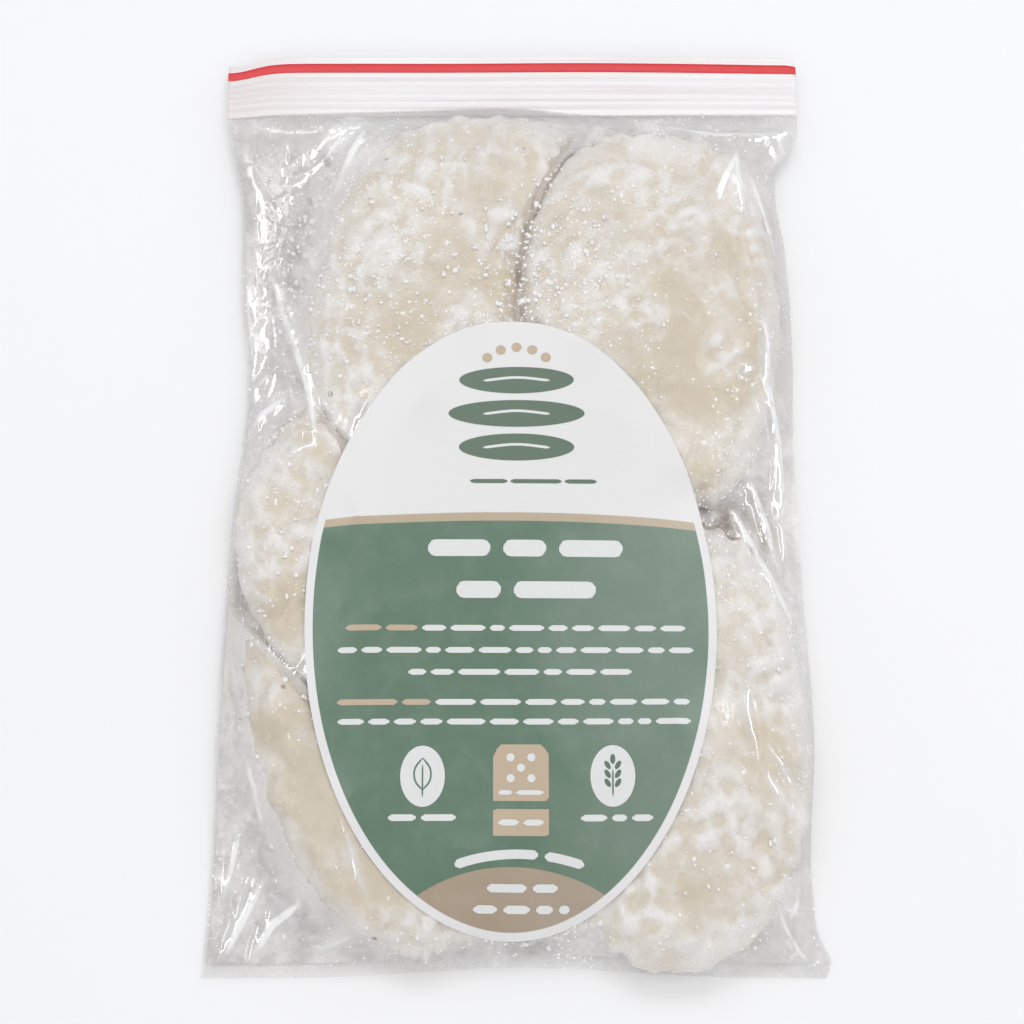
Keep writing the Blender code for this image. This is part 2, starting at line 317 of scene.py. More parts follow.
# each arepa's outline as a table over the angle: its own oval, less what those before it press on
AROUND = np.linspace(-np.pi, np.pi, 721)
outlines = {}
for place, arepa in enumerate(AREPAS):
    far, angle = np.meshgrid(np.linspace(0, 1.6, 801), AROUND, indexing="ij")
    beyond, taken = plain_reach(arepa, far, angle) > 1, far > 1.59
    for other in AREPAS[:place]:
        taken |= arepa_reach(other, *arepa_plan(arepa, far, angle)) < 1 + PRESSED_GAP
    own, pressed = far[np.argmax(beyond, axis=0), 0], far[np.argmax(taken, axis=0), 0]
    # where the neighbour ends the pressed outline swings out to its own, at a limited slope
    turn = np.abs(AROUND[:, None] - AROUND[None])
    pressed = np.min(pressed[None] + PRESSED_SLOPE * np.minimum(turn, 2 * np.pi - turn), axis=1)
    for _ in range(10):
        pressed[1:-1] = (pressed[2:] + 2 * pressed[1:-1] + pressed[:-2]) / 4
    # the lesser of the two, with a rounded bend between them
    blend = np.clip(0.5 + 0.5 * (pressed - own) / PRESSED_BEND, 0, 1)
    share = pressed * (1 - blend) + own * blend - PRESSED_BEND * blend * (1 - blend)
    for _ in range(2):
        share[1:-1] = (share[2:] + 2 * share[1:-1] + share[:-2]) / 4
    outlines[arepa.name] = share


def hump(distance, half_width):
    """1 at no distance, falling like a bell to almost 0 past twice the half width."""
    return np.exp(-((distance / half_width) ** 2))


# areas with more frost (above 0) or barer, darker dough (below 0): x, y, reach in mm, how much
FROSTED = (
    (-38, 100, 22, 0.55), (-58, 72, 16, 0.5), (-20, 62, 24, -0.75), (12, 42, 12, -0.5),
    (-50, 30, 18, 0.5), (62, 98, 24, 0.4), (62, 46, 26, -0.55), (66, 16, 16, -0.9),
    (88, 22, 14, 0.6), (34, 70, 14, 0.6), (-80, -18, 14, 0.9), (-72, -52, 12, -0.5),
    (-74, -92, 20, -1.0), (-62, -118, 20, -1.0), (-24, -146, 22, -0.5), (78, -30, 16, 0.8),
    (90, -62, 18, 1.0), (76, -88, 18, -0.5), (60, -136, 26, 0.25), (84, -122, 18, 0.5),
)


def arepa_relief(x, y, seed):
    """Lumps and pats of the dough in mm, and how frosty it is there. Broad dents and rounded lumps
    carry white clumps of flour and frost, thick in some areas and thin in others. Below 0 is dough
    that is quite bare."""
    at = np.stack([x, y], axis=-1)
    broad = waves(at, 34.0, seed + 1)
    lumps = waves(at, 15.0, seed + 2)
    clumps = waves(at, 7.5, seed + 3)
    crumbs = waves(at, 2.5, seed + 4, 40)
    cover = 1.1 * waves(at, 26.0, seed + 5)
    for centre_x, centre_y, size, much in FROSTED:
        cover += 2.6 * much * hump(np.hypot(x - centre_x, y - centre_y), size)
    floury = 0.5 + 0.5 * np.tanh(cover)
    piled = np.clip(0.55 * clumps + 0.6 * np.abs(lumps) + 0.22 * crumbs, 0, 1.5)
    frosty = (0.10 + 0.90 * floury**2) * piled
    relief = DENT_DEPTH * broad + LUMP_HEIGHT * np.abs(lumps) + CLUMP_HEIGHT * clumps
    relief += FROST_HEIGHT * frosty
    return relief, frosty - 0.6 * np.clip(-0.8 - cover, 0, 1)


def arepa_middle(arepa, x, y):
    """Height of the middle plane of an arepa, which may lie at a slope."""
    return arepa.height + arepa.slope_x * (x - arepa.x) + arepa.slope_y * (y - arepa.y)


def arepa_half_height(arepa, x, y, reach):
    """Half of the thickness at a reach from the centre (0) to the outline (1), the lumps on it and
    how frosty it is. The reach to the power of the edge, plus the height squared, is 1."""
    body = AREPA_THICKNESS / 2 * np.sqrt(np.clip(1 - reach**AREPA_EDGE, 0, 1))
    relief, frosty = arepa_relief(x, y, arepa.seed)
    return body, relief * np.clip((1 - reach) / 0.10, 0, 1) ** 0.7, frosty


def arepa_tops(x, y):
    """Top of the highest arepa and underside of the lowest at points in plan."""
    top, under = np.full(x.shape, -50.0), np.full(x.shape, 99.0)
    for arepa in AREPAS:
        reach = arepa_reach(arepa, x, y)
        body, relief, _ = arepa_half_height(arepa, x, y, reach)
        middle = arepa_middle(arepa, x, y)
        inside = reach < 1
        top = np.where(inside, np.maximum(top, middle + body + relief), top)
        under = np.where(inside, np.minimum(under, middle - body), under)
    return top, under


def sewn_points(front, back, back_step=1):
    """Points in mm and faces of two sheets that share the front's rim and close a thin body. Points
    run along x first and y second. The back may hold only every back_step-th point, and its outer
    cells then take the rim points between as extra corners."""
    rows, columns = front.shape[:2]
    f = np.arange(rows * columns).reshape(rows, columns)
    b = f[::back_step, ::back_step].copy()
    inner = np.arange((b.shape[0] - 2) * (b.shape[1] - 2)).reshape(b.shape[0] - 2, -1)
    b[1:-1, 1:-1] = f.size + inner
    points = np.concatenate([front.reshape(-1, 3), back[1:-1, 1:-1].reshape(-1, 3)])
    faces = grid_faces(f).reshape(-1, 4).tolist()
    under = grid_faces(b)[:, :, [0, 3, 2, 1]]
    if back_step == 1:
        faces += under.reshape(-1, 4).tolist()
    else:
        faces += under[1:-1, 1:-1].reshape(-1, 4).tolist()
        last_i, last_j = b.shape[0] - 2, b.shape[1] - 2
        k = back_step
        for i in range(last_i + 1):
            for j in range(last_j + 1) if i in (0, last_i) else (0, last_j):
                left = f[0, k * j : k * j + k + 1] if i == 0 else b[i, [j, j + 1]]
                far = f[k * i : k * i + k + 1, -1] if j == last_j else b[[i, i + 1], j + 1]
                right = f[-1, k * j : k * j + k + 1] if i == last_i else b[i + 1, [j, j + 1]]
                near = f[k * i : k * i + k + 1, 0] if j == 0 else b[[i, i + 1], j]
                ring = [*left[:-1], *far[:-1], *right[:0:-1], *near[:0:-1]]
                faces.append([int(v) for v in ring])
    return points, faces


def sewn_sheets(name, front, back, back_step=1):
    """A closed piece of two sheets of points in mm, shaded smooth but for its sharp edges."""
    return new_piece(name, *sewn_points(front, back, back_step), sharp=50)


def point_values(piece, name, values, behind=None):
    """Gives the points of a sewn piece a value each, by name: the front's from a grid, and the back's
    from the same grid, or all the same number behind."""
    if behind is None:
        back = values[1:-1, 1:-1].reshape(-1)
    else:
        back = np.full(len(piece.data.vertices) - values.size, behind)
    attribute = piece.data.attributes.new(name, "FLOAT", "POINT")
    attribute.data.foreach_set("value", np.concatenate([values.reshape(-1), back]).astype(np.float32))


def disc_of_square(cells_x, cells_y):
    """Radius and angle of points that fill a round disc from a square grid, without a pole."""
    a, b = np.meshgrid(np.linspace(-1, 1, cells_x + 1), np.linspace(-1, 1, cells_y + 1), indexing="ij")
    p, q = a * np.sqrt(1 - b * b / 2), b * np.sqrt(1 - a * a / 2)
    return np.hypot(p, q), np.arctan2(q, p)


def arepa_crevice_shade(arepa, x, y, z, reach):
    """How deep points of an arepa lie in the crevice to a neighbour, from 0 to 1, where the dough gets
    painted shade. It falls with the distance to the neighbour's outline, at this one's edge or
    wherever the neighbour lies higher."""
    tuck = np.zeros(x.shape)
    for other in AREPAS:
        if other is arepa:
            continue
        away = np.clip((arepa_reach(other, x, y) - 1) * 50.0, 0, None)
        edge = np.clip((reach - 0.78) / 0.17, 0, 1)
        below = np.clip((arepa_middle(other, x, y) - z + 3.0) / 4.0, 0, 1)
        tuck = np.maximum(tuck, hump(away, CREVICE_WIDTH) * np.maximum(edge, below))
    return tuck


def arepa_piece(arepa):
    """One arepa: reach and angle on a disc, spaced evenly along the profile, with the top and the
    underside sewn at the outline."""
    radius, angle = disc_of_square(AREPA_CELLS, AREPA_CELLS)
    profile = np.sin(np.linspace(0, np.pi / 2, 2000)) ** (2 / AREPA_EDGE)
    height = np.sqrt(np.clip(1 - profile**AREPA_EDGE, 0, 1)) * AREPA_THICKNESS / 2
    steps = np.hypot(np.diff(profile * arepa.half_width), np.diff(height))
    length = np.concatenate([[0], np.cumsum(steps)])
    reach = np.interp(np.clip(radius, 0, 1), length / length[-1], profile)
    x, y = arepa_plan(arepa, reach * arepa_outline(angle, arepa), angle)
    body, relief, frosty = arepa_half_height(arepa, x, y, reach)
    body[0, :] = body[-1, :] = body[:, 0] = body[:, -1] = 0
    middle = arepa_middle(arepa, x, y)
    top = middle + body + relief
    under = middle - body + 0.6 * np.abs(relief)
    bread = sewn_sheets(arepa.name, sheet(x, y, top), sheet(x, y, under))
    point_values(bread, "frosty", frosty)
    point_values(bread, "crevice_shade", arepa_crevice_shade(arepa, x, y, top, reach))
    point_values(bread, "rim", np.clip((reach - 0.72) / 0.28, 0, 1))
    return bread


dough, tree, where = new_material("frozen_dough")
frosty = value_on(tree, "frosty")
crevice_shade = value_on(tree, "crevice_shade")
rim_share = value_on(tree, "rim")
broad = noise(tree, where, 30.0, 4.0, 0.6, 0.3)
patches = noise(tree, where, 42.0, 5.0, 0.65, 0.5)
cloudy = noise(tree, where, 210.0, 5.0, 0.7, 0.3)
grain = noise(tree, where, 900.0, 4.0, 0.7)
tone = colour_mix(tree, ramp_of(tree, broad, 0.36, 0.64), (0.68, 0.61, 0.51), (0.79, 0.745, 0.685))
tone = colour_mix(tree, ramp_of(tree, patches, 0.50, 0.68, 0.0, 0.75), tone, (0.66, 0.575, 0.41))
bare = ramp_of(tree, frosty, 0.0, 0.35, 0.60, 0.0)
tone = colour_mix(tree, bare, tone, (0.69, 0.60, 0.45))
tone = colour_mix(tree, ramp_of(tree, frosty, -0.6, 0.0, 0.60, 0.0), tone, (0.65, 0.56, 0.41))
powder = plus(tree, times(tree, frosty, 0.62), ramp_of(tree, cloudy, 0.34, 0.72, -0.04, 0.34), True)
tone = colour_mix(tree, powder, tone, (0.91, 0.895, 0.87))
rim_frost = plus(tree, rim_share, ramp_of(tree, patches, 0.35, 0.65, -0.30, 0.30), True)
tone = colour_mix(tree, ramp_of(tree, rim_frost, 0.35, 1.0, 0.0, 0.75), tone, (0.86, 0.845, 0.825))
# painted shade: the dough darkens to brown in the crevices between arepas, where shade falls
tone = colour_mix(tree, ramp_of(tree, crevice_shade, 0.0, 1.0, 0.0, 0.60), tone, (0.52, 0.435, 0.35))
specks = add(tree, "ShaderNodeTexVoronoi", {"Vector": where}, Scale=230.0)
speck_draw = add(tree, "ShaderNodeSeparateColor", {"Color": specks.outputs["Color"]}).outputs["Red"]
speck_size = ramp_of(tree, specks.outputs["Distance"], 0.16, 0.30, 1.0, 0.0)
speck_mask = times(tree, speck_size, ramp_of(tree, speck_draw, 0.965, 0.985))
tone = colour_mix(tree, times(tree, speck_mask, 0.75), tone, (0.20, 0.15, 0.10))
height = plus(tree, cloudy, times(tree, grain, 0.3))
opaque(tree, tone, ramp_of(tree, grain, 0.3, 0.7, 0.55, 0.85), bumps(tree, height, 0.6, 0.0010))

for arepa in AREPAS:
    bread = arepa_piece(arepa)
    bread.data.materials.append(dough)
    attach(bread, "root")


# The bag's film: one tube of clear film, welded at the foot and drawn flat over the arepas. It is
# worked out as a stretched skin that rests on them and sags between, and then gets its creases.

BAG_WIDTH = 200.0
BAG_FOOT = -159.8
BAG_TOP = 136.3
BAG_LENGTH = BAG_TOP - BAG_FOOT
# distance above the foot, and how far the side is drawn in there
LEFT_INSETS = (
    (0, 0.3), (25, 2.0), (75, 2.9), (145, 5.8), (208, 9.3), (224, 7.2), (270, 4.8), (291, 0.2),
    (297, -0.5),
)
RIGHT_INSETS = (
    (0, -0.5), (3, -1.9), (6.5, -2.1), (9, -0.6), (13, 1.2), (25, 2.7), (80, 1.1), (125, 3.3),
    (175, 4.8), (210, 4.0), (247, 5.6), (267, 8.2), (276, 7.4), (286, 0.6), (297, -0.3),
)
# how far the foot weld is pulled up, at what x, and over what half width
FOOT_RISE = (3.2, 4.0, 44.0)
SEAM_CORNER, SEAM_FOOT, SEAM_SIDE, SEAM_MOUTH = 1.3, 4.5, 5.5, 6.5
LABEL_CENTRE = (-0.5, -47.2)
LABEL_HALF = (66.75, 101.5)
FILM_CLEARANCE = 0.5
FILM_SAG = 0.03
FILM_CELLS = (240, 352)
BACK_STEP = 4
FILM_LEVELS = (8, 4, 2, 1)
LABEL_BRIDGING = 12
SIDE_CROWDING = 0.35
CRUMPLE_HEIGHT, FINE_HEIGHT, STREAK_HEIGHT = 0.36, 0.08, 0.40


def smooth_through(points, at):
    """A smooth curve through (place, value) points."""
    place, value = (np.array(column, float) for column in zip(*points))
    slope = np.gradient(value, place)
    at = np.clip(at, place[0], place[-1])
    i = np.clip(np.searchsorted(place, at) - 1, 0, len(place) - 2)
    step = place[i + 1] - place[i]
    t = (at - place[i]) / step
    return (
        (2 * t**3 - 3 * t**2 + 1) * value[i]
        + (t**3 - 2 * t**2 + t) * step * slope[i]
        + (3 * t**2 - 2 * t**3) * value[i + 1]
        + (t**3 - t**2) * step * slope[i + 1]
    )


def foot_line(x):
    """Y of the foot weld, which the filling pulls up in the middle."""
    rise, at, half_width = FOOT_RISE
    return BAG_FOOT + rise * hump(x - at, half_width)


def bag_sides(up):
    """X of the left and right side of the bag at a distance above the foot."""
    left, right = smooth_through(LEFT_INSETS, up), smooth_through(RIGHT_INSETS, up)
    return -BAG_WIDTH / 2 + left, BAG_WIDTH / 2 - right


def bag_plan(u, w):
    """X and y of the film at u across, from -1 to 1, and w up, from 0 to 1."""
    left, right = bag_sides(w * BAG_LENGTH)
    x = left + (right - left) * (u + 1) / 2
    foot = foot_line(x)
    return x, foot + w * (BAG_TOP - foot)


def bag_place(x, y):
    """The u and w of points in plan, the reverse of bag_plan."""
    foot = foot_line(x)
    w = (y - foot) / (BAG_TOP - foot)
    left, right = bag_sides(w * BAG_LENGTH)
    return 2 * (x - left) / (right - left) - 1, w


def seam_height(u, w):
    """Height of the bag's rim: low at the foot's corners, higher up the sides and at the mouth."""
    foot = SEAM_CORNER + (SEAM_FOOT - SEAM_CORNER) * hump(u, 0.55)
    rise = np.clip(w / 0.35, 0, 1)
    side = SEAM_CORNER + (SEAM_SIDE - SEAM_CORNER) * rise * rise * (3 - 2 * rise)
    side = side + (SEAM_MOUTH - SEAM_SIDE) * np.clip((w - 0.8) / 0.2, 0, 1)
    return np.where(w <= 0, foot, side)


def in_label(x, y, margin=0.0):
    """True inside the label's oval, made wider by margin."""
    a = (x - LABEL_CENTRE[0]) / (LABEL_HALF[0] + margin)
    b = (y - LABEL_CENTRE[1]) / (LABEL_HALF[1] + margin)
    return a * a + b * b < 1


def settle(rim, low, high, load, sweeps=140, overshoot=1.8):
    """Film stretched between its rim, kept between low and high, with a load that sags it. It is
    solved on a coarse grid first and then on finer ones: each point goes to the mean of its
    neighbours less the load, a little past it, and back inside its limits."""
    z = None
    for level in FILM_LEVELS:
        part = (slice(None, None, level), slice(None, None, level))
        edge, bottom, top, weight = rim[part], low[part], high[part], load[part]
        if z is None:
            z = np.clip(edge, bottom, top)
        else:
            z = np.repeat(np.repeat(z, 2, axis=0), 2, axis=1)[:-1, :-1]
            z[1:-1:2, :] = (z[:-2:2, :] + z[2::2, :]) / 2
            z[:, 1:-1:2] = (z[:, :-2:2] + z[:, 2::2]) / 2
        across = (BAG_WIDTH / (z.shape[0] - 1)) ** 2
        along = (BAG_LENGTH / (z.shape[1] - 1)) ** 2
        i, j = np.indices(z.shape)
        inner = (i > 0) & (i < z.shape[0] - 1) & (j > 0) & (j < z.shape[1] - 1)
        z = np.where(inner, z, edge)
        for _ in range(sweeps):
            for colour in (0, 1):
                pull = along * (z[2:, 1:-1] + z[:-2, 1:-1]) + across * (z[1:-1, 2:] + z[1:-1, :-2])
                mean = (pull - across * along * weight[1:-1, 1:-1]) / (2 * (across + along))
                moved = z.copy()
                moved[1:-1, 1:-1] += overshoot * (mean - z[1:-1, 1:-1])
                z = np.where(inner & ((i + j) % 2 == colour), np.clip(moved, bottom, top), z)
    return z


# creases of the front film: points along each in mm, then the ridge's height and half width in mm
CREASES = (
    (
        ((-84, 79), (-81, 71), (-79, 63), (-76, 56), (-73, 47), (-70, 38), (-68, 30), (-66, 21), (-65, 14)),
        1.5,
        2.0,
    ),
    (((-65, 17), (-66, 12), (-71, 11), (-75, 10)), 0.77, 1.7),
    (((-76, 38), (-74, 31), (-71, 27)), 0.67, 1.7),
    (((-74, 23), (-73, 16), (-70, 18), (-68, 19)), 0.56, 1.4),
    (((-70, 14), (-69, 17), (-67, 16)), 0.56, 1.4),
    (((-72, 85), (-69, 81), (-67, 75)), 1.02, 2.3),
    (((-90, 55), (-88, 51), (-87, 47)), 1.12, 2.3),
    (((-92, 59), (-90, 51), (-89, 44), (-90, 37)), 1.02, 2.3),
    (((-90, 133), (-88, 131), (-79, 130), (-72, 130), (-67, 131)), 0.61, 1.6),
    (((-62, 131), (-51, 133), (-39, 132)), 0.78, 2),
    (((-91, 32), (-87, 37), (-82, 41)), 1.02, 2.3),
    (((-91, 17), (-85, 26), (-77, 31)), 1.36, 2.6),
    (((-94, 123), (-91, 113), (-87, 104), (-86, 91), (-85, 81)), 0.9, 2.3),
    (((-91, 75), (-90, 68), (-88, 60)), 0.78, 2),
    (((-51, 132), (-56, 121), (-61, 106)), 1.12, 2.9),
    (((78, 121), (77, 116), (74, 110), (71, 102)), 1.23, 2.2),
    (((78, 121), (78, 112), (78, 103), (80, 94)), 1.14, 2),
    (((80, 127), (84, 127), (88, 128), (91, 129)), 0.64, 1.4),
    (((48, 132), (58, 129), (70, 127), (80, 128), (90, 129), (98, 130)), 0.85, 1.7),
    (((52, 136), (66, 135), (82, 134), (97, 134)), 0.61, 1.6),
    (((-15, 135), (-4, 132), (17, 133), (31, 136)), 0.78, 2),
    (((83, 113), (87, 115), (92, 116)), 0.7, 1.6),
    (((83, 112), (84, 105), (87, 96), (89, 87), (91, 80)), 1.06, 2),
    (((84, 62), (86, 51), (86, 42), (86, 35), (88, 26), (90, 16), (91, 2), (91, -12)), 1.23, 2.2),
    (((77, 37), (79, 39), (82, 40)), 0.78, 2),
    (((82, 31), (85, 22), (87, 12)), 0.67, 1.7),
    (((79, 3), (82, -5), (85, -13), (87, -21)), 1.06, 2.2),
    (((91, 81), (93, 71), (94, 57)), 0.67, 1.7),
    (((74, -63), (75, -73), (77, -84), (78, -91)), 0.61, 1.6),
    (((89, -4), (91, -18), (92, -29), (94, -42)), 0.77, 1.9),
    (((74, -9), (79, -20), (86, -34), (93, -48)), 1.12, 2.2),
    (((82, -6), (86, -20), (90, -35)), 0.83, 1.9),
    (((82, -88), (86, -94), (90, -101)), 0.61, 1.6),
    (((79, -95), (84, -101), (91, -111)), 0.67, 1.7),
    (((86, -69), (90, -72), (93, -74)), 0.67, 1.7),
    (((83, -135), (87, -144), (92, -152), (98, -158)), 0.85, 1.7),
    (((92, -129), (91, -137), (88, -143)), 0.83, 2.2),
    (((98, -137), (96, -145), (93, -151)), 0.72, 1.9),
    (((83, -137), (92, -140), (97, -139)), 0.72, 1.9),
    (((93, -51), (95, -64), (96, -78), (95, -94)), 0.78, 2),
    (((-94, -137), (-91, -126), (-88, -113)), 1.01, 2.6),
    (((-92, -153), (-86, -140), (-80, -129)), 1.22, 2.8),
    (((-83, -153), (-77, -143), (-68, -137)), 1.2, 2.9),
    (((-54, -105), (-52, -117), (-48, -130), (-44, -138)), 0.67, 1.7),
    (((-86, -91), (-83, -101), (-80, -113)), 0.9, 2.3),
    (((-94, -91), (-93, -84), (-90, -76)), 0.83, 2.2),
    (((-67, -151), (-58, -150), (-50, -147)), 0.83, 2.2),
    (((-94, -44), (-92, -58), (-89, -71)), 0.83, 2.2),
)


def crease_relief(x, y, creases):
    """Height of ridges along paths, like a bell across and tapered towards the path's ends, and how
    near points are to a crest, which is the middle half of a ridge."""
    relief, crest = np.zeros(x.shape), np.zeros(x.shape)
    for points, ridge, half_width in creases:
        points = np.array(points, float)
        runs = np.hypot(*np.diff(points, axis=0).T)
        starts = np.concatenate([[0], np.cumsum(runs)])
        nearest, along = np.full(x.shape, 1e9), np.zeros(x.shape)
        for (ax, ay), (bx, by), run, start in zip(points, points[1:], runs, starts):
            t = np.clip(((x - ax) * (bx - ax) + (y - ay) * (by - ay)) / run**2, 0, 1)
            distance = np.hypot(x - ax - t * (bx - ax), y - ay - t * (by - ay))
            closer = distance < nearest
            nearest = np.where(closer, distance, nearest)
            along = np.where(closer, (start + t * run) / starts[-1], along)
        taper = np.sqrt(np.clip(np.sin(np.pi * np.clip(0.04 + 0.92 * along, 0, 1)), 0, 1))
        relief = np.maximum(relief, ridge * taper * hump(nearest, half_width))
        crest = np.maximum(crest, min(ridge, 1.2) * taper * hump(nearest, 0.55 * half_width))
    return relief, crest


# mounds of frost that fill gaps up to the film, and hollows between the arepas where no frost hides
# the shade: centre x and y, half width, half length, how full or deep
MOUNDS = ((-91, -38, 12, 20, 1.0), (-84, -42, 12, 9, 1.0), (-93, -62, 8, 18, 0.8), (86, -8, 9, 18, 0.45))
HOLLOWS = ((72, -12, 13, 12, 1.0), (63, -6, 13, 12, 1.0), (0, 74, 6, 12, 0.6), (3, 92, 6, 10, 0.55))


def spot_share(spots, x, y):
    """How far inside one of some oval spots points in plan are, from 0 to 1."""
    share = np.zeros(x.shape)
    for centre_x, centre_y, half_width, half_length, most in spots:
        far = np.hypot((x - centre_x) / half_width, (y - centre_y) / half_length)
        share = np.maximum(share, most * hump(far, 1.25))
    return share


even = np.linspace(-1, 1, FILM_CELLS[0] + 1)
u, w = np.meshgrid(even, np.linspace(0, 1, FILM_CELLS[1] + 1), indexing="ij")
film_x, film_y = bag_plan(u, w)
rim = seam_height(u, w)
arepa_top, arepa_under = arepa_tops(film_x, film_y)
film_load = np.where(in_label(film_x, film_y, 3.0), 0.0, FILM_SAG)
on_floor = np.full(rim.shape, 0.05)
film_back = settle(rim, on_floor, np.maximum(arepa_under - 0.2, on_floor), np.full(rim.shape, FILM_SAG))
from_rim = np.minimum((1 - np.abs(u)) * BAG_WIDTH / 2, np.minimum(w, 1 - w) * BAG_LENGTH)
rests_on = np.maximum(arepa_top + FILM_CLEARANCE, film_back + np.minimum(1.2, 0.25 * from_rim))
film_front = settle(rim, rests_on, np.full(rim.shape, 99.0), film_load)

# the grid's columns then move closer together at the sides, where the creases are
columns = even + SIDE_CROWDING * np.sin(np.pi * even) / np.pi
column_place = (columns + 1) / 2 * FILM_CELLS[0]
before = np.minimum(column_place.astype(int), FILM_CELLS[0] - 1)
share = (column_place - before)[:, None]
film_front = film_front[before] * (1 - share) + film_front[before + 1] * share
film_back = film_back[before] * (1 - share) + film_back[before + 1] * share
from_rim = from_rim[before] * (1 - share) + from_rim[before + 1] * share
u = np.repeat(columns[:, None], FILM_CELLS[1] + 1, axis=1)
film_x, film_y = bag_plan(u, w)
arepa_top = arepa_tops(film_x, film_y)[0]
film_front = np.maximum(film_front, arepa_top + 0.4)

film_at = np.stack([film_x, film_y], axis=2)
label_reach = np.hypot(
    (film_x - LABEL_CENTRE[0]) / LABEL_HALF[0], (film_y - LABEL_CENTRE[1]) / LABEL_HALF[1]
)
under_label = np.clip((1.03 - label_reach) / 0.03, 0, 1)
bridged = film_front.copy()
for _ in range(LABEL_BRIDGING):
    around = bridged[2:, 1:-1] + bridged[:-2, 1:-1] + bridged[1:-1, 2:] + bridged[1:-1, :-2]
    bridged[1:-1, 1:-1] = around / 4
film_front += under_label * (np.maximum(bridged, film_front - 0.3) - film_front)
loose = np.clip(from_rim / 7.0, 0, 1) * (1 - under_label)
free_gap = np.clip((film_front - arepa_top - FILM_CLEARANCE) / 3.0, 0, 1)
at_side = np.clip((np.abs(film_x) - 62.0) / 22.0, 0, 1)
ridged = np.clip(1 - np.abs(waves(film_at, 19.0, 71)), 0, 1)
finer = np.clip(1 - np.abs(waves(film_at, 8.0, 72, 40)), 0, 1)
streaks = np.clip(1 - np.abs(waves(film_at * (1.0, 0.30), 9.0, 73, 40)), 0, 1)
crinkles = (0.06 + 0.94 * free_gap) * (CRUMPLE_HEIGHT * ridged**2 + FINE_HEIGHT * finer**2)
crinkles = crinkles + STREAK_HEIGHT * at_side * streaks**2
creased, crest = (loose * values for values in crease_relief(film_x, film_y, CREASES))
film_front = film_front + creased + loose * crinkles

film = sewn_sheets(
    "film_bag",
    sheet(film_x, film_y, film_front),
    sheet(film_x, film_y, film_back)[::BACK_STEP, ::BACK_STEP],
    BACK_STEP,
)


def nearest_arepas(x, y):
    """About how far in mm points in plan lie outside each arepa's outline, the nearest arepa first."""
    return np.sort([np.clip((arepa_reach(arepa, x, y) - 1) * 50, 0, 99) for arepa in AREPAS], axis=0)


# the clear look needs the gap under the film, less where the crevices and spots show their filling
nearest, second = nearest_arepas(film_x, film_y)[:2]
shut = np.maximum(0.9 * hump(nearest, 9.0) * hump(second, 14.0), 0.95 * spot_share(HOLLOWS, film_x, film_y))
shut = np.maximum(shut, 0.85 * spot_share(MOUNDS, film_x, film_y) ** 0.5)
gap = np.clip(film_front - np.maximum(arepa_top, film_back), 0, 30)
point_values(film, "gap", gap * (1 - shut) + 4.0 * creased, behind=2.0)
point_values(film, "crease", crest, behind=0.0)

film_look, tree, where = new_material("clear_film")
gap_wide = value_on(tree, "gap")
# small crumples, which show most where the film stands off its filling
crumple = add(tree, "ShaderNodeTexVoronoi", {"Vector": where}, feature="DISTANCE_TO_EDGE", Scale=60.0)
soft_edges = ramp_of(tree, crumple.outputs["Distance"], 0.0, 0.22, 1.0, 0.0)
height = plus(tree, times(tree, soft_edges, 0.35), noise(tree, where, 85.0, 3.0, 0.5, 0.8))
height = times(tree, height, ramp_of(tree, gap_wide, 1.0, 4.0, 0.15, 0.35))
crinkled = bumps(tree, height, 0.55, 0.0009)
# milky haze, thicker where the film is loose, and drifts of flour dust on its inside
clouds = noise(tree, where, 45.0, 4.0, 0.65, 0.5)
haze_share = ramp_of(tree, gap_wide, 0.3, 4.0, 0.10, 0.42)
haze_share = times(tree, haze_share, ramp_of(tree, clouds, 0.35, 0.65, 0.60, 1.35))
milkiness = ramp_of(tree, noise(tree, where, 30.0, 4.0, 0.7, 0.6), 0.46, 0.66)
haze_tone = colour_mix(tree, milkiness, (0.68, 0.67, 0.665), (0.86, 0.85, 0.845))
dust = ramp_of(tree, noise(tree, where, 34.0, 5.0, 0.78, 0.4), 0.50, 0.74, 0.0, 0.50)
haze_share = plus(tree, haze_share, dust, True)
# flecks of flour: uneven cells of random size, of which most are left empty outside a few drifts
fleck_warp = add(tree, "ShaderNodeTexNoise", {"Vector": where}, Scale=900.0, Detail=2.0)
fleck_shift = add(
    tree, "ShaderNodeVectorMath", {0: fleck_warp.outputs["Color"]}, operation="SCALE", Scale=0.0016
)
fleck_place = add(tree, "ShaderNodeVectorMath", {0: where, 1: fleck_shift.outputs[0]}, operation="ADD")
flecks = add(tree, "ShaderNodeTexVoronoi", {"Vector": fleck_place.outputs[0]}, Scale=950.0)
fleck_draw = add(tree, "ShaderNodeSeparateColor", {"Color": flecks.outputs["Color"]})
drift = ramp_of(tree, noise(tree, where, 24.0, 4.0, 0.6), 0.47, 0.70, 0.99, 0.50)
fleck_reach = ramp_of(tree, fleck_draw.outputs["Green"], 0.0, 1.0, 0.10, 0.52)
fleck_size = ramp_of(tree, maths(tree, "SUBTRACT", fleck_reach, flecks.outputs["Distance"]), 0.0, 0.18)
fleck_here = maths(tree, "GREATER_THAN", fleck_draw.outputs["Red"], drift)
fleck_share = times(tree, fleck_size, fleck_here)
haze_share = plus(tree, haze_share, times(tree, fleck_share, 0.65), True)
haze_tone = colour_mix(tree, fleck_share, haze_tone, (0.95, 0.945, 0.94))
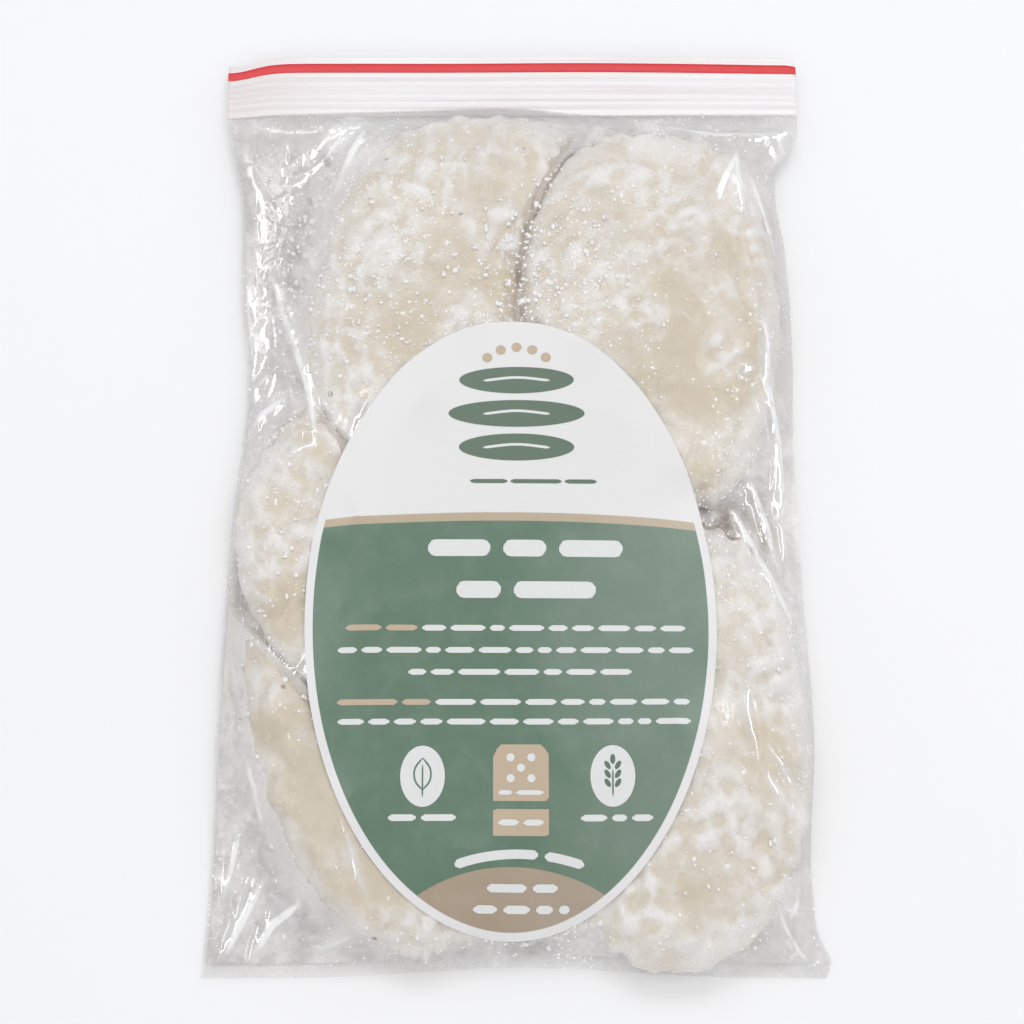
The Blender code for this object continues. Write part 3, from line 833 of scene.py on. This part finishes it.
# creases are whitened along their crests: partly the whitening of creased film, partly a painted highlight
crease_share = value_on(tree, "crease")
crest_glint_breakup = ramp_of(tree, noise(tree, where, 150.0), 0.35, 0.6, 0.35, 0.85)
crest_whitening_and_painted_glint = times(tree, ramp_of(tree, crease_share, 0.25, 1.0), crest_glint_breakup)
haze_share = plus(tree, haze_share, crest_whitening_and_painted_glint, True)
haze_tone = colour_mix(tree, crest_whitening_and_painted_glint, haze_tone, (0.97, 0.97, 0.975))
place = add(tree, "ShaderNodeSeparateXYZ", {"Vector": where}).outputs
# the haze is thicker at the mouth and the right side: painted light on the shaded band under the zip and on
# the right flank
haze_share = plus(tree, haze_share, ramp_of(tree, place["Y"], 0.110, 0.134, 0.0, 0.25), True)
haze_share = plus(tree, haze_share, ramp_of(tree, place["X"], 0.084, 0.096, 0.0, 0.30), True)
# the shine is sharp on loose film and on creases, and dull where the film clings
clear = add(tree, "ShaderNodeBsdfTransparent", Color=(0.975, 0.972, 0.970, 1.0))
haze = add(tree, "ShaderNodeBsdfDiffuse", {"Normal": crinkled, "Color": haze_tone})
dull = ramp_of(tree, gap_wide, 1.2, 3.6, 0.30, 0.06)
gloss = add(tree, "ShaderNodeBsdfGlossy", {"Normal": crinkled, "Roughness": dull})
mirror_share = add(tree, "ShaderNodeFresnel", {"Normal": crinkled}, IOR=1.85).outputs[0]
mirror_share = times(tree, mirror_share, ramp_of(tree, gap_wide, 1.2, 3.6, 0.25, 1.0))
mirror_share = times(tree, mirror_share, ramp_of(tree, crease_share, 0.05, 0.5, 0.7, 1.5))
hazy_film = shader_mix(tree, haze_share, clear, haze)
glossy_film = shader_mix(tree, mirror_share, hazy_film, gloss)
# light on its way to and from the filling passes straight through, a little dimmed
lamp_light = add(tree, "ShaderNodeBsdfTransparent", Color=(0.915, 0.91, 0.905, 1.0))
light_path = add(tree, "ShaderNodeLightPath").outputs
lighting = maths(tree, "MAXIMUM", light_path["Is Shadow Ray"], light_path["Is Diffuse Ray"])
surface(tree, shader_mix(tree, lighting, glossy_film, lamp_light))
film.data.materials.append(film_look)
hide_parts("bag")
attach(film, "root")


def on_film(x, y):
    """Height of the front film at points in plan, read between the grid's points."""
    place_u, place_w = bag_place(x, y)
    i = np.clip(np.interp(place_u, columns, np.arange(columns.size)), 0, FILM_CELLS[0] - 1e-6)
    j = np.clip(place_w * FILM_CELLS[1], 0, FILM_CELLS[1] - 1e-6)
    i0, j0 = i.astype(int), j.astype(int)
    a, b = i - i0, j - j0
    return (
        film_front[i0, j0] * (1 - a) * (1 - b)
        + film_front[i0 + 1, j0] * a * (1 - b)
        + film_front[i0, j0 + 1] * (1 - a) * b
        + film_front[i0 + 1, j0 + 1] * a * b
    )


# Frost and flour: what has come off the arepas. A thin crumbly bed of it lies on the back film
# between them, and white crumbs stick to the dough and to the inside of the front film, thick in a
# few drifts. The crumbs are one mesh of jittered twenty-sided grains.

BED_CELLS = (240, 352)
BED_BACK_STEP = 4
BED_REACH = 0.985
BED_THIN, BED_LUMPS, BED_HEAP, BED_FULL = 0.3, 1.8, 14.5, 20.0
BED_OFF_FILM = 0.1

bed_u, bed_w = np.meshgrid(
    np.linspace(-BED_REACH, BED_REACH, BED_CELLS[0] + 1),
    np.linspace(1 - BED_REACH, BED_REACH, BED_CELLS[1] + 1),
    indexing="ij",
)
bed_x, bed_y = bag_plan(bed_u, bed_w)
bed_at = np.stack([bed_x, bed_y], axis=2)
lumps = np.clip(np.abs(waves(bed_at, 9.0, 91)) + 0.5 * waves(bed_at, 4.0, 92, 40), 0, 2)
edge = np.minimum(bed_w + BED_REACH - 1, BED_REACH - bed_w) * 296
edge = np.minimum((BED_REACH - np.abs(bed_u)) * 100, edge)
edge = np.clip((edge - 4.0 - 3.0 * waves(bed_at, 24.0, 93)) / 9.0, 0, 1)
nearest, second = nearest_arepas(bed_x, bed_y)[:2]
deep = hump(second, 13.0) * (1 - hump(second, 4.0))
hollow, mound = spot_share(HOLLOWS, bed_x, bed_y), spot_share(MOUNDS, bed_x, bed_y) ** 0.5
heap = BED_HEAP * np.maximum(hump(nearest, 9.0) * (1 - 0.85 * deep) * (1 - 0.7 * hollow), mound)
bed_rise = 0.03 + edge * (BED_THIN + BED_LUMPS * lumps + heap * (0.88 + 0.12 * lumps))
bed_rest = film_back[
    np.interp(bed_u, columns, np.arange(columns.size)).astype(int), (bed_w * FILM_CELLS[1]).astype(int)
]
inside = np.clip((1 - np.min([arepa_reach(arepa, bed_x, bed_y) for arepa in AREPAS], axis=0)) * 16, 0, 1)
filled = hump(nearest, 5.0) * hump(second, 8.0) * (1 - hollow)
# the bed stays under the front film, and under the arepas where it isn't packed into a crevice
bed_room = on_film(bed_x, bed_y) - bed_rest - 0.6
bed_room -= 6.0 * inside * (1 - filled) ** 1.5 + (0.25 + 0.35 * lumps) * filled
bed_rise = np.minimum(np.maximum(bed_rise, BED_FULL * filled**0.5), np.maximum(bed_room, 0.03))
bed = sewn_sheets(
    "frost_bed",
    sheet(bed_x, bed_y, bed_rest + BED_OFF_FILM + bed_rise),
    sheet(bed_x, bed_y, bed_rest + BED_OFF_FILM)[::BED_BACK_STEP, ::BED_BACK_STEP],
    BED_BACK_STEP,
)
shaded = hump(nearest, 9.0) * (0.4 * deep + 0.45 * hump(second, 5.0)) * (1 - mound)
point_values(bed, "shaded", np.maximum(shaded, hollow), behind=0.0)
point_values(bed, "heaped", np.maximum(hump(nearest, 9.0), mound), behind=0.0)

frost_bed, tree, where = new_material("frost_and_flour_bed")
clouds = noise(tree, where, 95.0, 6.0, 0.7, 0.5)
crumbly = noise(tree, where, 320.0, 5.0, 0.7)
tone = colour_mix(tree, ramp_of(tree, clouds, 0.36, 0.64), (0.54, 0.525, 0.52), (0.79, 0.78, 0.77))
tone = colour_mix(tree, ramp_of(tree, crumbly, 0.52, 0.70, 0.0, 0.7), tone, (0.90, 0.89, 0.88))
heaped = value_on(tree, "heaped")
tone = colour_mix(tree, ramp_of(tree, heaped, 0.1, 0.95, 0.0, 0.8), tone, (0.81, 0.785, 0.745))
shaded = value_on(tree, "shaded")
tone = colour_mix(tree, ramp_of(tree, shaded, 0.05, 0.65, 0.0, 0.85), tone, (0.40, 0.325, 0.25))
opaque(tree, tone, 0.75, bumps(tree, crumbly, 0.7, 0.0010))
bed.data.materials.append(frost_bed)
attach(bed, "root")

# centre x and y, half width, half length, share of the crumbs
DRIFTS = (
    (14, 78, 20, 20, 0.22),
    (-52, 62, 24, 28, 0.20),
    (-80, 90, 16, 30, 0.12),
    (-78, -10, 14, 60, 0.12),
    (0, -150, 60, 8, 0.06),
    (60, 40, 36, 50, 0.10),
    (74, -100, 22, 60, 0.08),
    (-20, 90, 40, 34, 0.10),
)
CRUMBS = 2600
CRUMB_LEAST, CRUMB_SPREAD = 0.24, 0.70


def crumb_points(count, seed):
    """Centres of the crumbs: each drift is a bell-shaped cloud, and points off the bag are left out."""
    draw = np.random.default_rng(seed)
    shares = np.array([drift[4] for drift in DRIFTS])
    pick = draw.choice(len(DRIFTS), size=count, p=shares / shares.sum())
    centre = np.array([drift[:4] for drift in DRIFTS], float)[pick]
    x = centre[:, 0] + centre[:, 2] * draw.normal(size=count) * 0.7
    y = centre[:, 1] + centre[:, 3] * draw.normal(size=count) * 0.7
    size = CRUMB_LEAST + CRUMB_SPREAD * draw.random(count) ** 2.5
    place_u, place_w = bag_place(x, y)
    keep = (np.abs(place_u) < 0.95) & (place_w > 0.02) & (place_w < 0.97) & ~in_label(x, y, -6.0)
    return x[keep], y[keep], size[keep], draw


x, y, size, draw = crumb_points(CRUMBS, 5)
z = on_film(x, y) - 0.7 * size - 0.08
golden = (1 + math.sqrt(5)) / 2
corners = np.array([(0, s, t * golden) for s in (1, -1) for t in (1, -1)])
corners = np.concatenate([corners, corners[:, [1, 2, 0]], corners[:, [2, 0, 1]]]) / math.hypot(1, golden)
far = np.linalg.norm(corners[:, None] - corners[None], axis=2)
touching = (far > 0.1) & (far < 1.2)
triples = [
    (a, b, c)
    for a in range(12)
    for b in range(a + 1, 12)
    for c in range(b + 1, 12)
    if touching[a, b] and touching[b, c] and touching[a, c]
]
outward = [
    (a, b, c) if np.linalg.det(corners[[a, b, c]]) > 0 else (a, c, b)
    for a, b, c in triples
]
grains = corners[None] * (size[:, None] * draw.uniform(0.7, 1.2, (x.size, 12)))[:, :, None]
grains = grains * draw.uniform((0.6, 0.6, 0.30), (1.5, 1.5, 0.60), (x.size, 1, 3))
grains += np.stack([x, y, z], axis=1)[:, None]
faces = (np.array(outward)[None] + len(corners) * np.arange(x.size)[:, None, None]).reshape(-1, 3)
frost = new_piece("frost_crumbs", grains.reshape(-1, 3), faces.tolist(), sharp=180)

frost_look, tree, where = new_material("white_frost")
tone = colour_mix(tree, noise(tree, where, 500.0), (0.97, 0.965, 0.96), (0.99, 0.99, 0.99))
surface(tree, add(tree, "ShaderNodeBsdfDiffuse", {"Color": tone}))
frost.data.materials.append(frost_look)
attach(frost, "root")


# The zip: two lips of milky plastic, pressed shut. The front lip has fine ribs and a red line along
# it. The lips droop a little towards the mouth, and the left end bends down.

MOUTH = 159.8
LIP_BOTTOM = 136.0
LIP_DROOP = 1.5
LIP_THICKNESS = 0.5
LIP_GAP = 0.35
LIP_HALF = BAG_WIDTH / 2 + 0.5
RIBS = (139.6, 142.6, 145.2, 147.6, 150.2)
RIB_HEIGHT, RIB_HALF_WIDTH = 0.42, 0.5
LEFT_DROP = (4.0, 11.0)
RED_LINE = (153.2, 156.8)
RED_RISE = 0.16
# x along the lip, and the y below which its plastic is clear
CLEAR_BELOW = (
    (-101, 136.2), (-85, 136.6), (-64, 137.2), (-30, 138.2), (-4, 139.0), (6, 138.6), (20, 137.0),
    (32, 136.4), (60, 136.7), (101, 136.8),
)


def lip_place(x, y):
    """Y and height of the closed lips at a place on the flat lip, with a slight wave along x."""
    share = (y - BAG_TOP) / (MOUTH - BAG_TOP)
    drop, bend = LEFT_DROP
    wave = 0.5 * np.sin(x / 31 + 0.6) + 0.25 * np.sin(x / 13)
    low = y - drop * hump(x + BAG_WIDTH / 2, bend) * (0.3 + 0.7 * np.clip(share, 0, 1))
    low = low - 2.2 * np.clip(share, 0, 1) ** 8 * np.clip((x - 96) / 4.5, 0, 1) ** 2
    low = low - 0.8 * share * hump(x - 100, 30)
    return low, SEAM_MOUTH - LIP_DROOP * share + 0.5 * wave * np.clip(share + 0.15, 0, 1)


def lip_piece(name, side, rows, ribbed):
    """One lip: an outer sheet with ribs and a plain inner one, sewn at the rim. Side is 1 in front
    and -1 behind. A rib is a bell across y."""
    u, v = np.meshgrid(np.linspace(-1, 1, 301), np.linspace(0, 1, rows + 1), indexing="ij")
    flat_x = u * LIP_HALF
    flat_y = LIP_BOTTOM + (MOUTH - LIP_BOTTOM) * v
    y, middle = lip_place(flat_x, flat_y)
    rise = np.zeros(u.shape)
    if ribbed:
        for rib in RIBS:
            rise += RIB_HEIGHT * hump(flat_y - rib, RIB_HALF_WIDTH)
    edge = np.clip(np.minimum((1 - np.abs(u)) * 100, np.minimum(v, 1 - v) * 24) / 0.4, 0, 1) ** 0.5
    inner = middle + side * LIP_GAP / 2
    outer = inner + side * (LIP_THICKNESS + rise) * edge
    sheets = [sheet(flat_x, y, z) for z in ((outer, inner) if side > 0 else (inner, outer))]
    sheets[1][0], sheets[1][-1] = sheets[0][0], sheets[0][-1]
    lip = sewn_sheets(name, *sheets)
    clear = np.clip((smooth_through(CLEAR_BELOW, flat_x) - flat_y) / 0.8 + 0.5, 0, 1)
    point_values(lip, "clear", clear)
    return lip


milky, tree, where = new_material("milky_zip_plastic")
streaks = add(tree, "ShaderNodeMapping", {"Vector": where})
streaks.inputs["Scale"].default_value = (6.0, 420.0, 6.0)
lines = noise(tree, streaks.outputs[0], 1.0, 4.0, 0.6)
clear_share = value_on(tree, "clear")
tone = colour_mix(tree, ramp_of(tree, lines, 0.45, 0.72), (0.90, 0.885, 0.89), (0.83, 0.745, 0.75))
across = add(tree, "ShaderNodeSeparateXYZ", {"Vector": where}).outputs["X"]
tone = colour_mix(tree, ramp_of(tree, across, -0.100, -0.055, 0.65, 0.0), tone, (0.79, 0.72, 0.715))
height = plus(tree, lines, times(tree, noise(tree, where, 160.0), 0.5))
cover = ramp_of(tree, clear_share, 0.0, 1.0, 0.86, 0.18)
ribbed = bumps(tree, height, 0.3, 0.0005)
plastic = add(
    tree, "ShaderNodeBsdfPrincipled", {"Base Color": tone, "Normal": ribbed, "Alpha": cover}, Roughness=0.32
)
lamp_light = add(tree, "ShaderNodeBsdfTransparent", Color=(0.80, 0.80, 0.80, 1.0))
from_lamp = add(tree, "ShaderNodeLightPath").outputs["Is Shadow Ray"]
surface(tree, shader_mix(tree, from_lamp, plastic, lamp_light))

front_lip = lip_piece("zip_front", 1, 110, True)
back_lip = lip_piece("zip_back", -1, 24, False)
for lip, node in ((front_lip, "zip_lip_front"), (back_lip, "zip_lip_back")):
    lip.data.materials.append(milky)
    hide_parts(node)
    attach(lip, "root")

u, v = np.meshgrid(np.linspace(-1, 1, 301), np.linspace(0, 1, 7), indexing="ij")
flat_x, flat_y = u * LIP_HALF, RED_LINE[0] + (RED_LINE[1] - RED_LINE[0]) * v
y, middle = lip_place(flat_x, flat_y)
base = middle + LIP_GAP / 2 + LIP_THICKNESS + 0.06
lift = RED_RISE * np.clip(np.minimum((1 - np.abs(u)) * 100, np.minimum(v, 1 - v) * 3.6) / 0.5, 0, 1)
red_line = sewn_sheets("zip_red_line", sheet(flat_x, y, base + lift), sheet(flat_x, y, base - 0.5 * lift))
red, tree, where = new_material("red_plastic")
tone = colour_mix(tree, noise(tree, where, 60.0), (0.64, 0.010, 0.016), (0.70, 0.022, 0.030))
opaque(tree, tone, 0.35, bumps(tree, noise(tree, where, 300.0), 0.2, 0.0004))
red_line.data.materials.append(red)
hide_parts("red_line")
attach(red_line, "root")


# The label: an oval paper sticker on the front film, white above and green below, with a tan line
# between, a white border and a tan field at the foot. It follows the film.

LABEL_CELLS = (150, 210)
LABEL_LIFT = 0.25
LABEL_THICKNESS = 0.14
LABEL_BORDER = 2.7
PRINT_GLOSS = 0.42


def on_label(x, y):
    """Height of the label's face at points in plan."""
    return on_film(x, y) + LABEL_LIFT


radius, angle = disc_of_square(*LABEL_CELLS)
x = LABEL_CENTRE[0] + LABEL_HALF[0] * radius * np.cos(angle)
y = LABEL_CENTRE[1] + LABEL_HALF[1] * radius * np.sin(angle)
z = on_label(x, y)
edge = np.clip((1 - radius) * 60, 0, 1)
label = sewn_sheets("oval_label", sheet(x, y, z), sheet(x, y, z - LABEL_THICKNESS * edge))

printed, tree, where = new_material("printed_label")
split = add(tree, "ShaderNodeSeparateXYZ", {"Vector": where})
label_x = times(tree, split.outputs["X"], 1000.0)
label_y = times(tree, split.outputs["Y"], 1000.0)


def oval_share(centre, half, soft=0.12):
    """1 inside an oval and 0 outside, with an edge soft millimetres wide."""
    a = maths(tree, "DIVIDE", maths(tree, "SUBTRACT", label_x, centre[0]), half[0])
    b = maths(tree, "DIVIDE", maths(tree, "SUBTRACT", label_y, centre[1]), half[1])
    far = maths(tree, "SQRT", plus(tree, times(tree, a, a), times(tree, b, b)), 0.0)
    width = soft / min(half)
    return ramp_of(tree, far, 1 - width, 1 + width, 1.0, 0.0)


def above_arch(middle, drop, soft=0.15):
    """1 above a shallow arch that is highest at x = 0 and drop lower at the label's sides."""
    fall = times(tree, maths(tree, "POWER", maths(tree, "DIVIDE", label_x, 62.0), 2.0), drop)
    over = plus(tree, maths(tree, "SUBTRACT", label_y, middle), fall)
    return ramp_of(tree, over, -soft, soft)


paper = (0.74, 0.735, 0.735)
green = (0.098, 0.175, 0.118)
tan = (0.46, 0.37, 0.262)
inside = oval_share(LABEL_CENTRE, (LABEL_HALF[0] - LABEL_BORDER, LABEL_HALF[1] - LABEL_BORDER))
tone = colour_mix(tree, above_arch(-14.4, 2.5), green, tan)
tone = colour_mix(tree, above_arch(-11.6, 2.6), tone, paper)
tone = colour_mix(tree, oval_share((0.0, -176.0), (52.0, 50.0)), tone, (0.37, 0.29, 0.21))
tone = colour_mix(tree, inside, paper, tone)
# painted sheen: the label's colour is lighter towards its right side, with an uneven edge
painted_sheen_edge = ramp_of(tree, noise(tree, where, 12.0), 0.3, 0.7, -25.0, 25.0)
painted_sheen = ramp_of(tree, plus(tree, label_x, painted_sheen_edge), 5.0, 55.0, 0.0, 0.075)
tone = colour_mix(tree, painted_sheen, tone, (0.80, 0.80, 0.79))
mottle = noise(tree, where, 90.0, 4.0, 0.6)
tone = colour_mix(tree, ramp_of(tree, mottle, 0.4, 0.8, 0.0, 0.05), tone, (0.75, 0.75, 0.74))
opaque(tree, tone, PRINT_GLOSS, bumps(tree, noise(tree, where, 200.0, 4.0, 0.6), 0.25, 0.0004))
label.data.materials.append(printed)
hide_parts("label")
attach(label, "root")


# The print on the label: thin fields of ink in white, tan and dark green. Rows of plain bars stand
# where a label has its words, with a stack of three breads above and two plain pictograms on discs.
# Each field is a closed patch on the label's face, and each ink is one mesh.

PRINT_LIFT = 0.06
INK = 0.04


def oval_patch(centre, half, cells=12, turn=0.0):
    """Points in plan that fill an oval, turned by an angle in degrees."""
    radius, angle = disc_of_square(cells, cells)
    a, b = half[0] * radius * np.cos(angle), half[1] * radius * np.sin(angle)
    c, s = math.cos(math.radians(turn)), math.sin(math.radians(turn))
    return centre[0] + a * c - b * s, centre[1] + a * s + b * c


def ribbon_patch(path, width, tips=0.35):
    """Points in plan of a stroke along a smooth path. Its ends are rounded down to a share of its
    width within half a width."""
    path = np.array(path, float)
    knots = np.concatenate([[0], np.cumsum(np.hypot(*np.diff(path, axis=0).T))])
    at = np.linspace(0, knots[-1], max(6, int(knots[-1] / 1.1)))
    if len(path) == 2:
        x, y = (np.interp(at, knots, path[:, k]) for k in (0, 1))
    else:
        x, y = (smooth_through(list(zip(knots, path[:, k])), at) for k in (0, 1))
    ways = np.stack([np.gradient(x, at), np.gradient(y, at)])
    ways /= np.linalg.norm(ways, axis=0)
    inward = np.clip(np.minimum(at, knots[-1] - at) / (width / 2), 0, 1)
    half = width / 2 * (tips + (1 - tips) * np.sqrt(1 - (1 - inward) ** 2))
    side = np.linspace(-1, 1, 4)[None, :] * half[:, None]
    return x[:, None] - ways[1][:, None] * side, y[:, None] + ways[0][:, None] * side


def bar_row(left, right, y, height, bars, seed, bend=0.0):
    """A row of bars of uneven lengths, about as far apart as they are high. Bend lowers the ends."""
    draw = np.random.default_rng(seed)
    lengths = draw.uniform(0.5, 1.6, bars)
    space = 0.75 * height
    lengths *= (right - left - space * (bars - 1)) / lengths.sum()
    starts = left + np.concatenate([[0], np.cumsum(lengths[:-1] + space)])
    middle, half = (left + right) / 2, (right - left) / 2
    rows = []
    for start, length in zip(starts, lengths):
        x = np.linspace(start, start + length, 2 if bend == 0 else 6)
        rows.append(ribbon_patch(list(zip(x, y - bend * ((x - middle) / half) ** 2)), height))
    return rows


def panel_patch(left, right, top, bottom, cut=(0.0, 0.0)):
    """Points in plan of a panel whose two top corners are cut off by so much across and down."""
    u, v = np.meshgrid(np.linspace(left, right, 15), np.linspace(0, 1, 15), indexing="ij")
    across = np.clip(cut[0] - np.minimum(u - left, right - u), 0, None)
    high = top - (across * cut[1] / cut[0] if cut[0] else 0.0)
    return u, bottom + (high - bottom) * v


def ink_piece(name, layers, colour):
    """One ink as one mesh: each layer is a lift in mm and its patches, closed between the lift and a
    little below it."""
    points, faces, first = [], [], 0
    for lift, patches in layers:
        for x, y in patches:
            z = on_label(x, y) + lift
            patch, cells = sewn_points(sheet(x, y, z), sheet(x, y, z - INK / 2))
            points.append(patch)
            faces += [[corner + first for corner in cell] for cell in cells]
            first += len(patch)
    piece = new_piece(name, np.concatenate(points), faces, sharp=30)
    ink, tree, where = new_material(name)
    faded = tuple(0.88 * value + 0.03 for value in colour)
    tone = colour_mix(tree, noise(tree, where, 450.0, 4.0, 0.7), colour, faded)
    opaque(tree, tone, PRINT_GLOSS, bumps(tree, noise(tree, where, 700.0, 3.0), 0.2, 0.0002))
    piece.data.materials.append(ink)
    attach(piece, "root")


DISCS = ((-28.4, -97.7), (32.0, -97.6))
DISC_HALF = (7.1, 9.7)
EMBLEM = (1.5, 22.0)
EMBLEM_BREADS = ((33.5, 19.0), (22.0, 22.5), (10.5, 19.0))
PANEL = (-6.0, 11.7, -87.6, -105.5)
LOWER_PANEL = (-6.0, 11.7, -108.0, -116.4)
PANEL_DOTS = ((2.85, -95.0), (6.15, -91.7), (6.15, -98.3), (-0.45, -91.7), (-0.45, -98.3))

# rows of bars: left, right, y, height, how many, seed, and how far the ends hang down
WHITE_ROWS = (
    (-27.3, 36.1, -23.6, 5.6, 3, 4),
    (-18.0, 27.2, -37.4, 5.6, 2, 8),
    (-29.0, 56.0, -50.0, 1.9, 9, 1),
    (-56.2, 58.4, -57.2, 1.9, 13, 2),
    (-33.3, 38.4, -64.3, 1.9, 7, 3),
    (-24.5, 56.8, -74.0, 1.9, 8, 5),
    (-55.8, 57.0, -80.3, 1.9, 12, 6),
    (-39.2, -17.7, -110.8, 2.1, 2, 7),
    (21.8, 44.6, -110.8, 2.1, 3, 9),
    (-18.0, 22.7, -122.0, 2.9, 2, 10, 3.6),
)
PANEL_ROWS = (
    (-4.4, 10.1, -102.8, 1.5, 2, 12),
    (-4.4, 10.1, -112.2, 1.9, 2, 13),
    (-7.9, 14.5, -132.5, 2.6, 2, 14),
    (-12.3, 18.2, -139.0, 2.6, 4, 15),
)
TAN_ROWS = ((-53.7, -30.5, -50.0, 1.9, 2, 16), (-56.1, -26.0, -74.0, 1.9, 2, 17))
DARK_ROWS = ((-13.7, 27.8, -1.1, 1.4, 3, 18),)

white_rows, panel_rows, tan_rows, dark_rows = (
    [bar for row in rows for bar in bar_row(*row)] for rows in (WHITE_ROWS, PANEL_ROWS, TAN_ROWS, DARK_ROWS)
)
panel_marks = [oval_patch((x, y), (1.3, 1.3), 6) for x, y in PANEL_DOTS] + panel_rows
discs = [oval_patch(centre, DISC_HALF, 20) for centre in DISCS]
slits = [
    ribbon_patch([(EMBLEM[0] - 11, y - 0.2), (EMBLEM[0], y + 0.9), (EMBLEM[0] + 11, y - 0.2)], 0.9)
    for y, _ in EMBLEM_BREADS
]
ink_piece(
    "label_print_white",
    ((PRINT_LIFT, white_rows + discs), (2 * PRINT_LIFT, panel_marks + slits)),
    (0.74, 0.75, 0.745),
)

tan_marks = tan_rows + [panel_patch(*PANEL, (2.2, 3.1)), panel_patch(*LOWER_PANEL)]
tan_marks += [
    oval_patch((EMBLEM[0] + 14 * math.sin(t), EMBLEM[1] + 10 + 13 * math.cos(t)), (1.7, 1.7), 6)
    for t in np.radians((-44, -22, 0, 22, 44))
]
ink_piece("label_print_tan", ((PRINT_LIFT, tan_marks),), (0.52, 0.41, 0.29))

emblem_breads = [oval_patch((EMBLEM[0], y), (half, 4.6), 26) for y, half in EMBLEM_BREADS]
(leaf_x, leaf_y), (ear_x, ear_y) = DISCS
LEAF_SIDE = ((0, 5.8), (2.5, 2.2), (2.3, -1.6), (0, -4.4))
leaf_marks = [
    ribbon_patch([(leaf_x + side * a, leaf_y + b) for a, b in LEAF_SIDE], 0.55) for side in (-1, 1)
]
leaf_marks.append(ribbon_patch([(leaf_x, leaf_y + 3.6), (leaf_x, leaf_y - 6.6)], 0.5))
ear_marks = [ribbon_patch([(ear_x, ear_y + 2.0), (ear_x, ear_y - 6.4)], 0.5)] + [
    oval_patch((ear_x + side * 1.65, ear_y + row), (0.75, 1.5), 6, -32 * side)
    for row in (3.4, 0.6, -2.2)
    for side in (-1, 1)
]
ear_marks.append(oval_patch((ear_x, ear_y + 5.3), (0.8, 1.6), 6))
ink_piece(
    "label_print_dark",
    ((PRINT_LIFT, emblem_breads + dark_rows), (2 * PRINT_LIFT, leaf_marks + ear_marks)),
    (0.095, 0.155, 0.105),
)
